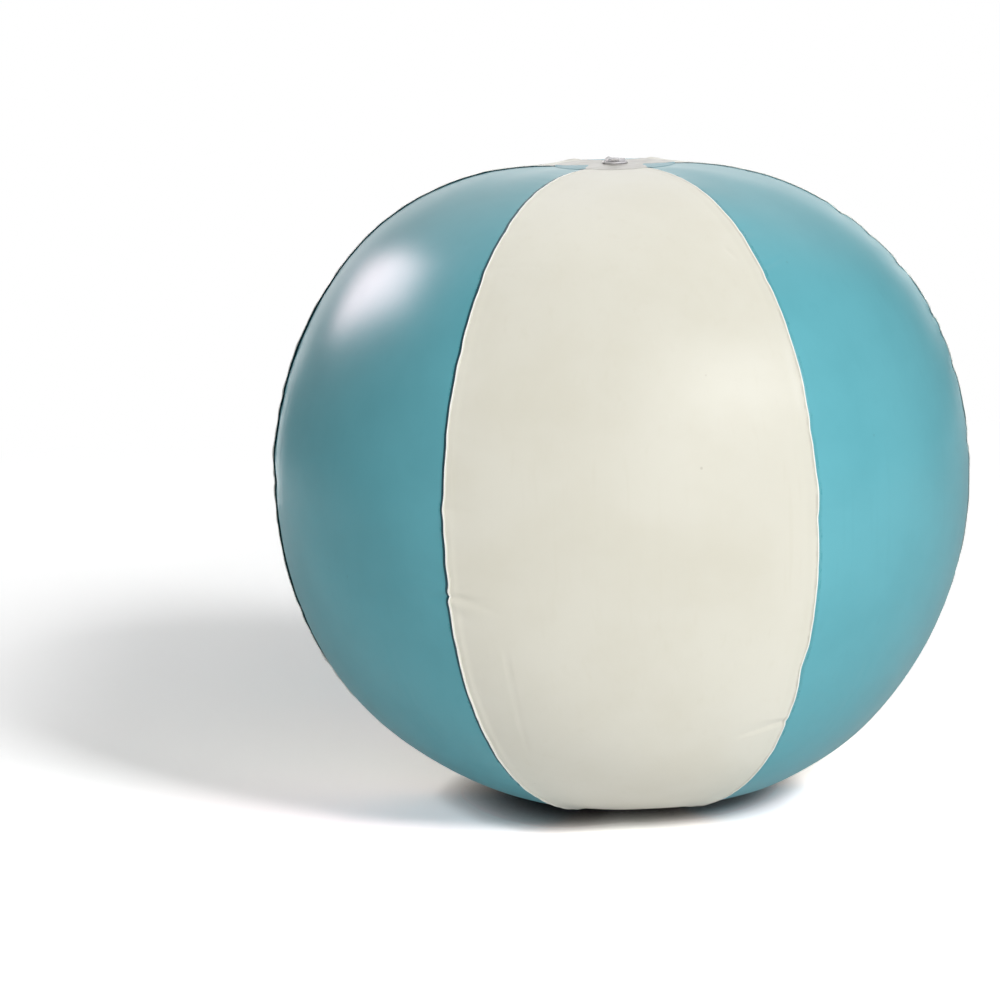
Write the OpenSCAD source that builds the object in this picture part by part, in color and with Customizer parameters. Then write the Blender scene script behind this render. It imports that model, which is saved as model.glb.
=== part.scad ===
// Inflatable beach ball: six welded panels of thin film, two pole discs and a push-in valve.
// The ball stands on its bottom disc, with the origin on the ground below its middle.

/* [Ball] */
// Diameter across opposite seams at the widest level
seam_d = 350; // [300:1:400]
// Height of the half above the widest level
upper_h = 157; // [130:1:185]
// Height of the half below the widest level
lower_h = 162.5; // [130:0.5:190]
// How far the middle of a panel lies inside the seam circle at the widest level
panel_sink = 3.5; // [0:0.5:16]
// Power of the upper half's outline across its width
upper_width_power = 2.19; // [1.8:0.01:2.6]
// Power of the upper half's outline over its height
upper_height_power = 1.99; // [1.8:0.01:2.4]
// Power of the lower half's outline across its width
lower_width_power = 2.01; // [1.8:0.01:2.6]
// Power of the lower half's outline over its height
lower_height_power = 2.08; // [1.8:0.01:2.4]

/* [Film and welds] */
// Thickness of the film
film_t = 0.25; // [0.15:0.05:0.5]
// Width of the weld where one panel laps over the next
lap_w = 3; // [2:0.5:6]
// Space between two layers that are welded face to face
weld_gap = 0.05; // [0.02:0.01:0.1]
// Depth of the puckers that the weld draws into each seam
pucker_depth = 1.2; // [0:0.1:2.5]
// Number of puckers along each seam
pucker_count = 14; // [10:1:16]

/* [Pole discs] */
// Diameter of each pole disc
disc_d = 60; // [54:1:80]
// How far a disc laps over the panel tips
disc_lap = 9; // [5:0.5:10]

/* [Valve] */
// Diameter of the air bore
bore_d = 7; // [6.5:0.1:8]
// Wall of the mouth tube
stem_wall = 1.5; // [1.2:0.1:1.8]
// How far the stem pulls out
stem_travel = 12; // [8:1:15]
// How far the rim stands over the top disc when the stem is pushed in
rim_stand = 1.2; // [1.1:0.1:2]
// Height of the rim
rim_t = 1; // [0.7:0.1:1]
// How far the rim reaches past the tube
rim_reach = 1.2; // [1:0.1:1.4]
// How far the stop ring reaches past the tube
ring_reach = 1.5; // [1.3:0.1:1.8]
// Height of the stop ring
ring_t = 1.2; // [0.8:0.1:2]
// Length of the tube below the stop ring
foot_len = 4; // [3:0.5:6]
// Diameter of the welded flange
flange_d = 26; // [22:1:29]
// Thickness of the welded flange
flange_t = 0.8; // [0.6:0.1:1.2]
// Thickness of the rolling wall between flange and stem
cuff_t = 0.4; // [0.3:0.05:0.5]
// Height that the rolling wall keeps when the stem is pulled out
cuff_fold = 1; // [0.8:0.1:2]

/* [Plug] */
// Diameter of the plug's head
head_d = 10.4; // [9.6:0.1:11]
// Thickness of the plug's head
head_t = 1.2; // [1:0.1:1.6]
// Length of the peg that closes the bore
peg_len = 3.8; // [3:0.1:4]
// Diameter of the peg's tip
peg_tip_d = 4.6; // [4:0.1:4.8]
// Space between the peg and the bore at the mouth
peg_fit = 0.1; // [0.08:0.01:0.2]
// Width of the strap
strap_w = 3.2; // [2.4:0.1:4]
// Thickness of the strap
strap_t = 0.6; // [0.5:0.05:0.7]
// How far the pull tab reaches past the head
tab_reach = 2.4; // [1.5:0.1:3]
// Width of the pull tab
tab_w = 4.4; // [3:0.1:5]
// Thickness of the pull tab
tab_t = 0.6; // [0.4:0.1:0.9]

/* [Check flap] */
// Thickness of the flap
flap_t = 0.6; // [0.4:0.1:0.8]
// Width of the flap's tail
tail_w = 3; // [2:0.1:4]

/* [Hidden] */

CREAM = [0.87, 0.86, 0.80];
TEAL = [0.33, 0.64, 0.68];
PALE = [0.84, 0.82, 0.79];
CLEAR = [0.80, 0.82, 0.82];

// Panels
panels = 6;
half_angle = 180 / panels;
// Rings of points from the lower disc's edge to the upper disc's edge
rings = 56;
seam_r = seam_d / 2;
disc_r = disc_d / 2;
tip_r = disc_r - disc_lap;
layer = film_t + weld_gap;
// A disc lies on two layers of panel film, so its outer face is two layers from the tips
equator_z = 2 * layer + lower_h;
crown_z = equator_z + upper_h;
top_z = crown_z + 2 * layer;

// Where the columns of points stand between the weld and a panel's middle, as shares of the way
column_shares = [1, 0.8, 0.43, 0];
// How far a pucker fades out towards a panel's middle, as a share of the way
pucker_fade_share = 0.45;
// How much a pucker's depth changes along its seam, as a share of its depth
pucker_change_share = 0.4;
// How far the puckers of one seam are moved along against the next, in puckers
pucker_shift_share = 0.3;

// Height and radius of the seam line at an angle from -90 at the bottom to 90 at the top
function outline_r(t) = let(power = t < 0 ? lower_width_power : upper_width_power)
    disc_r + (seam_r - disc_r) * pow(cos(t), 2 / power);
function outline_z(t) = t < 0
    ? equator_z - lower_h * pow(sin(-t), 2 / lower_height_power)
    : equator_z + upper_h * pow(sin(t), 2 / upper_height_power);

// The seam line's points, with the flat tips under the discs at its ends
angles = [for (i = [0:rings]) 180 * i / rings - 90];
seam_line = concat(
    [[tip_r, equator_z - lower_h]],
    [for (t = angles) [outline_r(t), outline_z(t)]],
    [[tip_r, crown_z]]
);
last_ring = len(seam_line) - 1;

// Outward direction of the seam line at each ring
function across(v) = [v.y, -v.x] / norm(v);
outward = [for (i = [0:last_ring])
    i < 2 ? [0, -1] : i > last_ring - 2 ? [0, 1] : across(seam_line[i + 1] - seam_line[i - 1])];

// Share of the way from the nearest seam to the middle of a panel
function from_seam(phi) = abs(((phi % (2 * half_angle)) + 2 * half_angle) % (2 * half_angle) - half_angle)
    / half_angle;
function seam_number(phi) = floor(phi / (2 * half_angle));

// Depth of the puckers at a ring and an angle round the ball
function pucker(i, phi) =
    let(way = (i - 1) / rings,
        shift = ((seam_number(phi) + panels) % (panels / 2) - 1) * pucker_shift_share,
        wave = (1 - cos(360 * (way * pucker_count + shift))) / 2,
        change = 1 - pucker_change_share * (1 + sin(360 * 3 * way + 120 * seam_number(phi))) / 2,
        fade = max(0, 1 - from_seam(phi) / pucker_fade_share))
    i < 2 || i > last_ring - 2 ? 0 : pucker_depth * wave * change * fade * fade * outward[i].x;

// Point of the ball at a ring, an angle round the ball from the front, and a depth below the surface
function skin(i, phi, depth) =
    let(line = seam_line[i],
        sink = panel_sink * line.x / seam_r * (1 - cos(180 * from_seam(phi))) / 2,
        down = depth + pucker(i, phi),
        r = line.x - sink - down * outward[i].x,
        z = line.y - down * outward[i].y)
    [r * sin(phi), -r * cos(phi), z];

// Angles of a panel's columns from its middle at a ring, from one welded edge to the other
function column_angles(i) =
    let(weld = 90 * lap_w / PI / seam_line[i].x,
        half = concat([half_angle + weld], (half_angle - weld) * column_shares))
    concat(-half, [for (j = [len(half) - 2:-1:0]) half[j]]);
last_column = 2 * len(column_shares);

// Two triangles of a four-sided face, split from its first corner
function split(a, b, c, d) = [[a, b, c], [a, c, d]];

// One panel of film, whose welded edges lie over its neighbours' edges or under them
module panel(number, over) {
    middle = 2 * half_angle * number;
    row = last_column + 1;
    side = row * (last_ring + 1);
    welded = function(j) j < 2 || j > last_column - 2;
    points = [for (depth = [0, film_t]) for (i = [0:last_ring]) for (j = [0:last_column])
        skin(i, middle + column_angles(i)[j], depth - (over && welded(j) ? layer : 0))];
    at = function(k, i, j) k * side + i * row + j;
    skins = [for (i = [0:last_ring - 1]) for (j = [0:last_column - 1]) each concat(
        split(at(0, i, j), at(0, i + 1, j), at(0, i + 1, j + 1), at(0, i, j + 1)),
        split(at(1, i, j), at(1, i, j + 1), at(1, i + 1, j + 1), at(1, i + 1, j)))];
    long_edges = [for (i = [0:last_ring - 1]) each concat(
        split(at(0, i, 0), at(1, i, 0), at(1, i + 1, 0), at(0, i + 1, 0)),
        split(at(0, i, last_column), at(0, i + 1, last_column), at(1, i + 1, last_column), at(1, i, last_column)))];
    tips = [for (j = [0:last_column - 1]) each concat(
        split(at(0, 0, j), at(0, 0, j + 1), at(1, 0, j + 1), at(1, 0, j)),
        split(at(0, last_ring, j + 1), at(0, last_ring, j), at(1, last_ring, j), at(1, last_ring, j + 1)))];
    polyhedron(points, concat(skins, long_edges, tips));
}

module cream_panel_front() { color(CREAM) panel(0, true); }
module teal_panel_right() { color(TEAL) panel(1, false); }
module cream_panel_rear_right() { color(CREAM) panel(2, true); }
module teal_panel_rear() { color(TEAL) panel(3, false); }
module cream_panel_rear_left() { color(CREAM) panel(4, true); }
module teal_panel_left() { color(TEAL) panel(5, false); }

// Valve sizes that follow from the ones above
round_steps = 96;
// Space between two faces that rest on each other and move apart
seat_gap = 0.05;
// Bevel on the edges of the moulded pieces
bevel = 0.3;
// Space between the tube and the bore of the flange
stem_play = 0.9;
// How far the hole in the top disc is set back from the bore of the flange
hole_setback = 0.6;
// Distance from the rim to the strap's bend
strap_root = 0.8;
// How far the lug under the strap's bend reaches past it
lug_reach = 0.6;
// Height of the strap's arch over its two ends
strap_arch = 0.5;
// Distance from the tube to the flap's bend
flap_root = 0.5;
// How far the flap's tail and the lug over it reach past the bend
tail_reach = 0.4;
// Height of the lug over the flap's tail
flap_lug_h = 2;
// Overrun of a cut past a face
overrun = 0.5;

bore_r = bore_d / 2;
stem_r = bore_r + stem_wall;
rim_r = stem_r + rim_reach;
ring_r = stem_r + ring_reach;
flange_bore_r = stem_r + stem_play;
head_r = head_d / 2;
peg_tip_r = peg_tip_d / 2;
flange_z = crown_z - flange_t;
rim_top = top_z + rim_stand;
rim_z = rim_top - rim_t;
ring_top = flange_z - stem_travel - cuff_fold;
ring_z = ring_top - ring_t;
foot_z = ring_z - foot_len;
plug_axis_y = rim_r + strap_root;
plug_axis_z = rim_top + seat_gap + strap_t / 2;
flap_axis_y = stem_r + flap_root;
flap_axis_z = foot_z - seat_gap - flap_t / 2;

// Solid of revolution about the ball's axis
module turned(outline) { rotate_extrude($fn = round_steps) polygon(outline); }

// Block across the middle plane, from one place to another along the ball's depth and height
module block(w, y0, y1, z0, z1) { translate([-w / 2, y0, z0]) cube([w, y1 - y0, z1 - z0]); }

module top_disc() {
    color(PALE) translate([0, 0, top_z - film_t]) difference() {
        cylinder(h = film_t, r = disc_r, $fn = round_steps);
        translate([0, 0, -overrun])
            cylinder(h = film_t + 2 * overrun, r = flange_bore_r + hole_setback, $fn = round_steps);
    }
}

module bottom_disc() { color(PALE) cylinder(h = film_t, r = disc_r, $fn = round_steps); }

// Flat ring that thins out to its rim, welded against the underside of the top disc
module valve_flange() {
    color(CLEAR) turned([
        [flange_bore_r, flange_z], [flange_d / 2 - flange_t, flange_z],
        [flange_d / 2, crown_z - flange_t / 2], [flange_d / 2, crown_z], [flange_bore_r, crown_z]
    ]);
}

// Thin waisted wall that rolls up as the stem is pulled out
cuff_steps = 8;
// How far the waist draws in, as a share of the space between the wall and the tube
cuff_waist_share = 0.5;
function cuff_outline(r) = let(low = ring_top + weld_gap, high = flange_z - weld_gap,
    waist = (ring_reach - cuff_t) * cuff_waist_share)
    [for (k = [0:cuff_steps]) [r - waist * sin(180 * k / cuff_steps), low + (high - low) * k / cuff_steps]];
module valve_cuff() {
    inner = cuff_outline(ring_r - cuff_t);
    color(CLEAR) turned(concat(cuff_outline(ring_r), [for (k = [cuff_steps:-1:0]) inner[k]]));
}

// Mouth tube with a rim, a stop ring, a lug for the strap and a lug for the flap
module valve_stem() {
    color(CLEAR) {
        turned([
            [bore_r, foot_z], [stem_r - bevel, foot_z], [stem_r, foot_z + bevel],
            [stem_r, ring_z], [ring_r - bevel, ring_z], [ring_r, ring_z + bevel],
            [ring_r, ring_top], [stem_r, ring_top], [stem_r, rim_z],
            [rim_r - bevel, rim_z], [rim_r, rim_z + bevel], [rim_r, rim_top - bevel],
            [rim_r - bevel, rim_top], [bore_r + bevel, rim_top], [bore_r, rim_top - bevel]
        ]);
        block(strap_w, stem_r, plug_axis_y + lug_reach, rim_z, rim_top);
        block(tail_w, stem_r - bevel, flap_axis_y + tail_reach, foot_z + bevel, foot_z + bevel + flap_lug_h);
    }
}

// Stopper with a tapered peg, a recessed head, a pull tab, and a strap that bends over the rim's lug
strap_steps = 8;
module valve_plug() {
    head_z = rim_top + seat_gap;
    head_top = head_z + head_t;
    tab_z = head_z + (head_t - tab_t) / 2;
    strap_len = plug_axis_y - head_r + bevel;
    arch = [for (k = [0:strap_steps])
        [plug_axis_y - strap_len * k / strap_steps, plug_axis_z + strap_arch * sin(180 * k / strap_steps)]];
    color(CLEAR) {
        turned([
            [0, rim_top - peg_len], [peg_tip_r - bevel, rim_top - peg_len],
            [peg_tip_r, rim_top - peg_len + bevel], [bore_r - peg_fit, rim_top],
            [bore_r - peg_fit, head_z], [head_r, head_z], [head_r, head_top - bevel],
            [head_r - bevel, head_top], [peg_tip_r, head_top], [peg_tip_r - bevel, head_top - head_t / 2],
            [0, head_top - head_t / 2]
        ]);
        block(tab_w, bevel - head_r - tab_reach, bevel - head_r, tab_z, tab_z + tab_t);
        translate([0, bevel - head_r - tab_reach, tab_z]) cylinder(h = tab_t, d = tab_w, $fn = round_steps);
        rotate([90, 0, 90]) {
            linear_extrude(strap_w, center = true) polygon(concat(
                [for (p = arch) p + [0, strap_t / 2]],
                [for (k = [strap_steps:-1:0]) arch[k] - [0, strap_t / 2]]));
            translate([plug_axis_y, plug_axis_z])
                cylinder(h = strap_w, d = strap_t, center = true, $fn = round_steps);
        }
    }
}

// Round flap that covers the inner end of the tube and bends at its tail
module check_flap() {
    color(CLEAR) {
        translate([0, 0, foot_z - seat_gap - flap_t]) cylinder(h = flap_t, r = stem_r - bevel, $fn = round_steps);
        block(tail_w, bore_r, flap_axis_y + tail_reach, foot_z - seat_gap - flap_t, foot_z - seat_gap);
    }
}

cream_panel_front();
teal_panel_right();
cream_panel_rear_right();
teal_panel_rear();
cream_panel_rear_left();
teal_panel_left();
top_disc();
bottom_disc();
valve_flange();
valve_cuff();
valve_stem();
valve_plug();
check_flap();
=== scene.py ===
"""Inflatable beach ball: six welded film panels, two pole discs and a push-in valve, in a studio."""
import logging
import math
from collections.abc import Sequence
from dataclasses import dataclass, field
from enum import Enum

import bpy
import numpy as np
from mathutils import Matrix, Quaternion, Vector


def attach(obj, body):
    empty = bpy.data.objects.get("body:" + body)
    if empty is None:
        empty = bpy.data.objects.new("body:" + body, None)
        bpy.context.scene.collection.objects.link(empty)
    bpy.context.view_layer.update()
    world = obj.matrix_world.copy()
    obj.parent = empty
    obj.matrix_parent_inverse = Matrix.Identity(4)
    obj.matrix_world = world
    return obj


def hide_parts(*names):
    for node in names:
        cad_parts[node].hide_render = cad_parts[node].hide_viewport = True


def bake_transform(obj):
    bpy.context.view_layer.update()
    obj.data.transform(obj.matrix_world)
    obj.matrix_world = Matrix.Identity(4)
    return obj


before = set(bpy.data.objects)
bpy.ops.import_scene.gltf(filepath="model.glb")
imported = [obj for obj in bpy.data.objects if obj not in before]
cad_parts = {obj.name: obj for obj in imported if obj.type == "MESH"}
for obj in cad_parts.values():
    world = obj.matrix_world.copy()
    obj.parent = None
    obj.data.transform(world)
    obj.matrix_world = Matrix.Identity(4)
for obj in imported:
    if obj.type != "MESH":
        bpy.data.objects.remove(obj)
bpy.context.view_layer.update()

LOG = logging.getLogger("beach_ball")
MM = 0.001
TURN = 2 * math.pi
WHITE = (1.0, 1.0, 1.0, 1.0)
FILM_IOR = 1.5

Colour = tuple[float, float, float]
Outline = list[tuple[float, float]]
Grid = np.ndarray
Piece = bpy.types.Object
Materials = dict[str, bpy.types.Material]


def linear(colour: Colour) -> tuple[float, float, float, float]:
    """Change a colour as seen on a screen into the shader's own values.

    Args:
        colour: Red, green and blue from 0 to 255.

    Returns:
        Linear red, green, blue and a full alpha.
    """
    low, slope, offset, power = 0.04045, 12.92, 0.055, 2.4
    shares = [channel / 255 for channel in colour]
    values = [s / slope if s <= low else ((s + offset) / (1 + offset)) ** power for s in shares]
    return (values[0], values[1], values[2], 1.0)


def smooth(values: Grid, start: float, end: float) -> Grid:
    """Smooth rise from 0 at the start to 1 at the end."""
    share = np.clip((values - start) / (end - start), 0, 1)
    return share * share * (3 - 2 * share)


def bell(values: Grid, middle: float, width: float) -> Grid:
    """Bell curve of height 1 round a middle value."""
    return np.exp(-(((values - middle) / width) ** 2))


def waves(angle: Grid | float, parts: Sequence[tuple[float, float, Grid | float]]) -> Grid | float:
    """Sum of waves round an axis, each with its height, its number round the turn and its phase."""
    return sum(height * np.sin(number * angle + phase) for height, number, phase in parts)


def bearing(turn: float, rise: float) -> Vector:
    """Way from the ball at an angle round it from the front and an angle over the level, in radians."""
    return Vector((math.sin(turn) * math.cos(rise), -math.cos(turn) * math.cos(rise), math.sin(rise)))


class Signal:
    """Output of a shader node, on which sums are written as plain expressions."""

    def __init__(self, recipe: "Recipe", socket: bpy.types.NodeSocket) -> None:
        """Keep the socket and the recipe that it belongs to."""
        self.recipe = recipe
        self.socket = socket

    def maths(self, operation: str, *values: "Value") -> "Signal":
        """Result of a Math node on numbers or signals, in order."""
        return self.recipe.node("ShaderNodeMath", dict(enumerate(values)), operation=operation)

    def __add__(self, other: "Value") -> "Signal":
        """Sum with a value on the right."""
        return self.maths("ADD", self, other)

    def __radd__(self, other: "Value") -> "Signal":
        """Sum with a value on the left."""
        return self.maths("ADD", other, self)

    def __sub__(self, other: "Value") -> "Signal":
        """Difference from a value on the right."""
        return self.maths("SUBTRACT", self, other)

    def __rsub__(self, other: "Value") -> "Signal":
        """Difference from a value on the left."""
        return self.maths("SUBTRACT", other, self)

    def __mul__(self, other: "Value") -> "Signal":
        """Product with a value on the right."""
        return self.maths("MULTIPLY", self, other)

    def __rmul__(self, other: "Value") -> "Signal":
        """Product with a value on the left."""
        return self.maths("MULTIPLY", other, self)

    def __truediv__(self, other: "Value") -> "Signal":
        """Quotient with a value on the right."""
        return self.maths("DIVIDE", self, other)

    def __rtruediv__(self, other: "Value") -> "Signal":
        """Quotient with a value on the left."""
        return self.maths("DIVIDE", other, self)

    def __pow__(self, other: "Value") -> "Signal":
        """Power with the value on the right."""
        return self.maths("POWER", self, other)

    def __rpow__(self, other: "Value") -> "Signal":
        """Power of a value on the left."""
        return self.maths("POWER", other, self)

    def at_least(self, other: "Value") -> "Signal":
        """Larger of this value and another."""
        return self.maths("MAXIMUM", self, other)

    def rise(self, start: float, end: float) -> "Signal":
        """Smooth rise from 0 at the start to 1 at the end."""
        inputs = {"Value": self, "From Min": start, "From Max": end, "To Min": 0.0, "To Max": 1.0}
        return self.recipe.node("ShaderNodeMapRange", inputs, interpolation_type="SMOOTHSTEP")


Value = float | Signal | Sequence[float]


@dataclass(frozen=True)
class Pattern:
    """Cloudy noise: clouds in a metre, finer layers, their strength, and the span of its smooth rise."""

    scale: float
    detail: float = 2.0
    roughness: float = 0.5
    span: tuple[float, float] = (0.0, 1.0)


class Recipe:
    """Nodes of one material or world."""

    def __init__(self, owner: bpy.types.ID) -> None:
        """Clear the owner's nodes.

        Args:
            owner: Material or world that the new nodes are made for.
        """
        owner.use_nodes = True
        self.tree = owner.node_tree
        self.tree.nodes.clear()

    def node(
        self, kind: str, inputs: dict[str | int, Value] | None = None, output: str | int = 0,
        **settings: object,
    ) -> Signal:
        """Add one node.

        Args:
            kind: Blender's name of the node's type.
            inputs: Numbers, colours or signals by the socket's name or index.
            output: Name or index of the output that is wanted.
            settings: The node's settings, which are set before its inputs.

        Returns:
            The wanted output.
        """
        made = self.tree.nodes.new(kind)
        for name, value in settings.items():
            setattr(made, name, value)
        for key, value in (inputs or {}).items():
            if isinstance(value, Signal):
                self.tree.links.new(value.socket, made.inputs[key])
            else:
                made.inputs[key].default_value = value
        return Signal(self, made.outputs[output] if made.outputs else None)

    def mix(self, factor: Value, first: Value, second: Value) -> Signal:
        """Mix of two colours, by the share of the second."""
        return self.node("ShaderNodeMix", {0: factor, 6: first, 7: second}, 2, data_type="RGBA")

    def vector(self, operation: str, first: Value, second: Value) -> Signal:
        """Combine two vectors with a Vector Math node."""
        return self.node("ShaderNodeVectorMath", {0: first, 1: second}, operation=operation)

    def length(self, vector: Signal) -> Signal:
        """Length of a vector."""
        return self.node("ShaderNodeVectorMath", {0: vector}, "Value", operation="LENGTH")

    def parts(self, vector: Signal, axes: str) -> list[Signal]:
        """Parts of a vector along the named axes."""
        return [self.node("ShaderNodeSeparateXYZ", {"Vector": vector}, axis) for axis in axes]

    def place(self) -> Signal:
        """Place on the object, in metres in the frame's axes."""
        return self.node("ShaderNodeTexCoord", output="Object")

    def lobes(self, x: Signal, y: Signal) -> Signal:
        """Wave round the ball, lowest in the middle of each cream panel and highest in each teal one."""
        turn = x.maths("ARCTAN2", x, y)
        return turn.maths("COSINE", turn * 3.0)

    def attribute(self, name: str) -> Signal:
        """Number kept on the mesh's points under a name."""
        return self.node("ShaderNodeAttribute", output="Fac", attribute_name=name)

    def noise(self, place: Signal, pattern: Pattern) -> Signal:
        """Cloudy pattern from 0 to 1."""
        inputs = {"Scale": pattern.scale, "Detail": pattern.detail, "Roughness": pattern.roughness}
        return self.node("ShaderNodeTexNoise", {"Vector": place, **inputs}, "Fac")

    def bump(self, height: Signal, distance: float) -> Signal:
        """Normal of a surface raised by a height, with the height of a full step in metres."""
        return self.node("ShaderNodeBump", {"Height": height, "Distance": distance, "Strength": 1.0})

    def plastic(self, inputs: dict[str, Value]) -> None:
        """Make the surface of film or vinyl from the shader's inputs."""
        shader = self.node("ShaderNodeBsdfPrincipled", {**inputs, "IOR": FILM_IOR})
        self.node("ShaderNodeOutputMaterial", {"Surface": shader})


@dataclass(frozen=True)
class WeldPaint:
    """Painted highlight and shade of the weld along a panel's edge.

    The colours are set by the distance from the seam's middle in millimetres. The edge stripe is the film's
    pale cut edge with a painted highlight on the upper film, and a painted shadow beside the lip on the lower
    film.
    The band is the pressed weld band, with painted shade on the upper film. The shade colours are painted
    shade under the lip, from pale to dark. Each seam sets how strong the painted highlight and shades are.
    """

    edge: Colour
    edge_from: float
    edge_to: float
    edge_share: float
    band: Colour
    band_from: float
    band_to: float
    band_share: float
    shade: Colour
    shade_pale: Colour
    shade_to: float
    soft: float = 0.25
    shade_soft: float = 0.3
    uneven: Pattern = Pattern(180.0, 2.0, 0.6, (0.2, 0.7))

    def stripe(self, seam: Signal, start: float, end: float) -> Signal:
        """1 between two distances from the seam's middle and 0 elsewhere."""
        return seam.rise(start - self.soft, start) * (1 - seam.rise(end, end + self.soft))


@dataclass(frozen=True)
class FilmFinish:
    """Satin film of a panel, with the weld along its edges and its painted highlight and shade."""

    name: str
    slot: str
    colour: Colour
    cloud: Colour
    cloud_share: float
    speck: Colour
    speck_share: float
    roughness: float
    roughness_change: float
    weld: WeldPaint
    lies_over: bool
    matte: float = 0.0
    streak_share: float = 0.25
    clouds: Pattern = Pattern(22.0, 3.0, 0.55, (0.35, 0.75))
    streaks: Pattern = Pattern(1.0, span=(0.55, 0.8))
    drawn: tuple[float, float, float] = (260.0, 260.0, 5.0)
    specks_scale: float = 42.0
    specks_span: tuple[float, float] = (0.015, 0.04)
    grain: Pattern = Pattern(1500.0, 2.0, 0.6)
    peel: Pattern = Pattern(260.0)
    peel_share: float = 3.0
    grain_height: float = 0.000004
    cloud_dullness: float = 0.6
    grain_dullness: float = 0.4
    band_gloss: float = 0.04

    def material(self) -> bpy.types.Material:
        """Make the film's material.

        Returns:
            The material.
        """
        made = bpy.data.materials.new(self.name)
        recipe, weld, cloud = Recipe(made), self.weld, linear(self.cloud)
        place = recipe.place()
        clouds = recipe.noise(place, self.clouds)
        streaks = recipe.noise(recipe.vector("MULTIPLY", place, self.drawn), self.streaks)
        colour = recipe.mix(clouds.rise(*self.clouds.span) * self.cloud_share, linear(self.colour), cloud)
        colour = recipe.mix(streaks.rise(*self.streaks.span) * self.streak_share, colour, cloud)
        spots = recipe.node(
            "ShaderNodeTexVoronoi", {"Vector": place, "Scale": self.specks_scale}, "Distance",
            voronoi_dimensions="3D", feature="F1")
        specks = 1 - spots.rise(*self.specks_span)
        colour = recipe.mix(specks * self.speck_share, colour, linear(self.speck))
        # The weld's marks below are painted highlight and shade, with strengths that each seam keeps on the
        # points.
        seam, shaded = recipe.attribute("seam_distance"), recipe.attribute("weld_shade")
        # Edge: pale cut edge with a painted highlight on the upper film, and a painted shadow on the lower
        # one.
        edge = weld.stripe(seam, weld.edge_from, weld.edge_to)
        uneven = recipe.noise(place, weld.uneven).rise(*weld.uneven.span)
        # Band: the pressed weld band, with painted shade on the upper film only.
        band = weld.stripe(seam, weld.band_from, weld.band_to) * uneven
        highlight_share = recipe.attribute("edge_highlight")
        edge, band = (edge * highlight_share, band * shaded) if self.lies_over else (edge * shaded, band)
        colour = recipe.mix(band * weld.band_share, colour, linear(weld.band))
        colour = recipe.mix(edge * weld.edge_share, colour, linear(weld.edge))
        # Painted shade under the lip, from pale to dark as each seam sets it.
        crease = 1 - seam.rise(weld.shade_to, weld.shade_to + weld.shade_soft)
        under_lip_shade = recipe.mix(recipe.attribute("crease_shade"), linear(weld.shade_pale), linear(weld.shade))
        colour = recipe.mix(crease, colour, under_lip_shade)
        grain = recipe.noise(place, self.grain)
        normal = recipe.bump(grain + recipe.noise(place, self.peel) * self.peel_share, self.grain_height)
        changes = clouds * self.cloud_dullness + grain * self.grain_dullness - 0.5
        roughness = changes * self.roughness_change + self.roughness - band * self.band_gloss
        recipe.plastic({
            "Base Color": colour, "Roughness": roughness, "Normal": normal, "Diffuse Roughness": self.matte})
        return made


@dataclass(frozen=True)
class VinylFinish:
    """Soft vinyl of the discs and the valve; the tips of the teal panels may show dimly through it."""

    name: str
    slot: str
    colour: Colour
    cloud: Colour
    roughness: float
    clearness: float
    tip_share: float = 0.0
    tip_colour: Colour = (108.0, 176.0, 190.0)
    tip_radius: float = 0.0160
    tip_reach: float = 0.030
    tip_soft: float = 0.03
    clouds: Pattern = Pattern(140.0, 3.0, 0.6, (0.3, 0.75))
    cloud_height: float = 2.0
    cloud_dullness: float = 0.1
    frost: Pattern = Pattern(1800.0, 2.0, 0.6)
    frost_height: float = 0.00002

    def material(self) -> bpy.types.Material:
        """Make the vinyl's material.

        Returns:
            The material.
        """
        made = bpy.data.materials.new(self.name)
        recipe = Recipe(made)
        place = recipe.place()
        clouds = recipe.noise(place, self.clouds)
        colour = recipe.mix(clouds.rise(*self.clouds.span), linear(self.colour), linear(self.cloud))
        if self.tip_share:
            colour = recipe.mix(self._tips(recipe, place) * self.tip_share, colour, linear(self.tip_colour))
        normal = recipe.bump(recipe.noise(place, self.frost) + clouds * self.cloud_height, self.frost_height)
        roughness = clouds * self.cloud_dullness + (self.roughness - self.cloud_dullness / 2)
        recipe.plastic({
            "Base Color": colour, "Roughness": roughness, "Normal": normal,
            "Transmission Weight": self.clearness})
        return made

    def _tips(self, recipe: Recipe, place: Signal) -> Signal:
        """Where the tips of the teal panels lie under a disc.

        Args:
            recipe: Recipe of the material.
            place: Place on the object.

        Returns:
            1 over a tip and 0 elsewhere.
        """
        wave = recipe.lobes(*recipe.parts(place, "XY"))
        radius = recipe.length(recipe.vector("MULTIPLY", place, (1.0, 1.0, 0.0)))
        needed = (self.tip_reach - radius) * (1.0 / (self.tip_reach - self.tip_radius))
        return (wave - needed).rise(-self.tip_soft, self.tip_soft)


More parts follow.
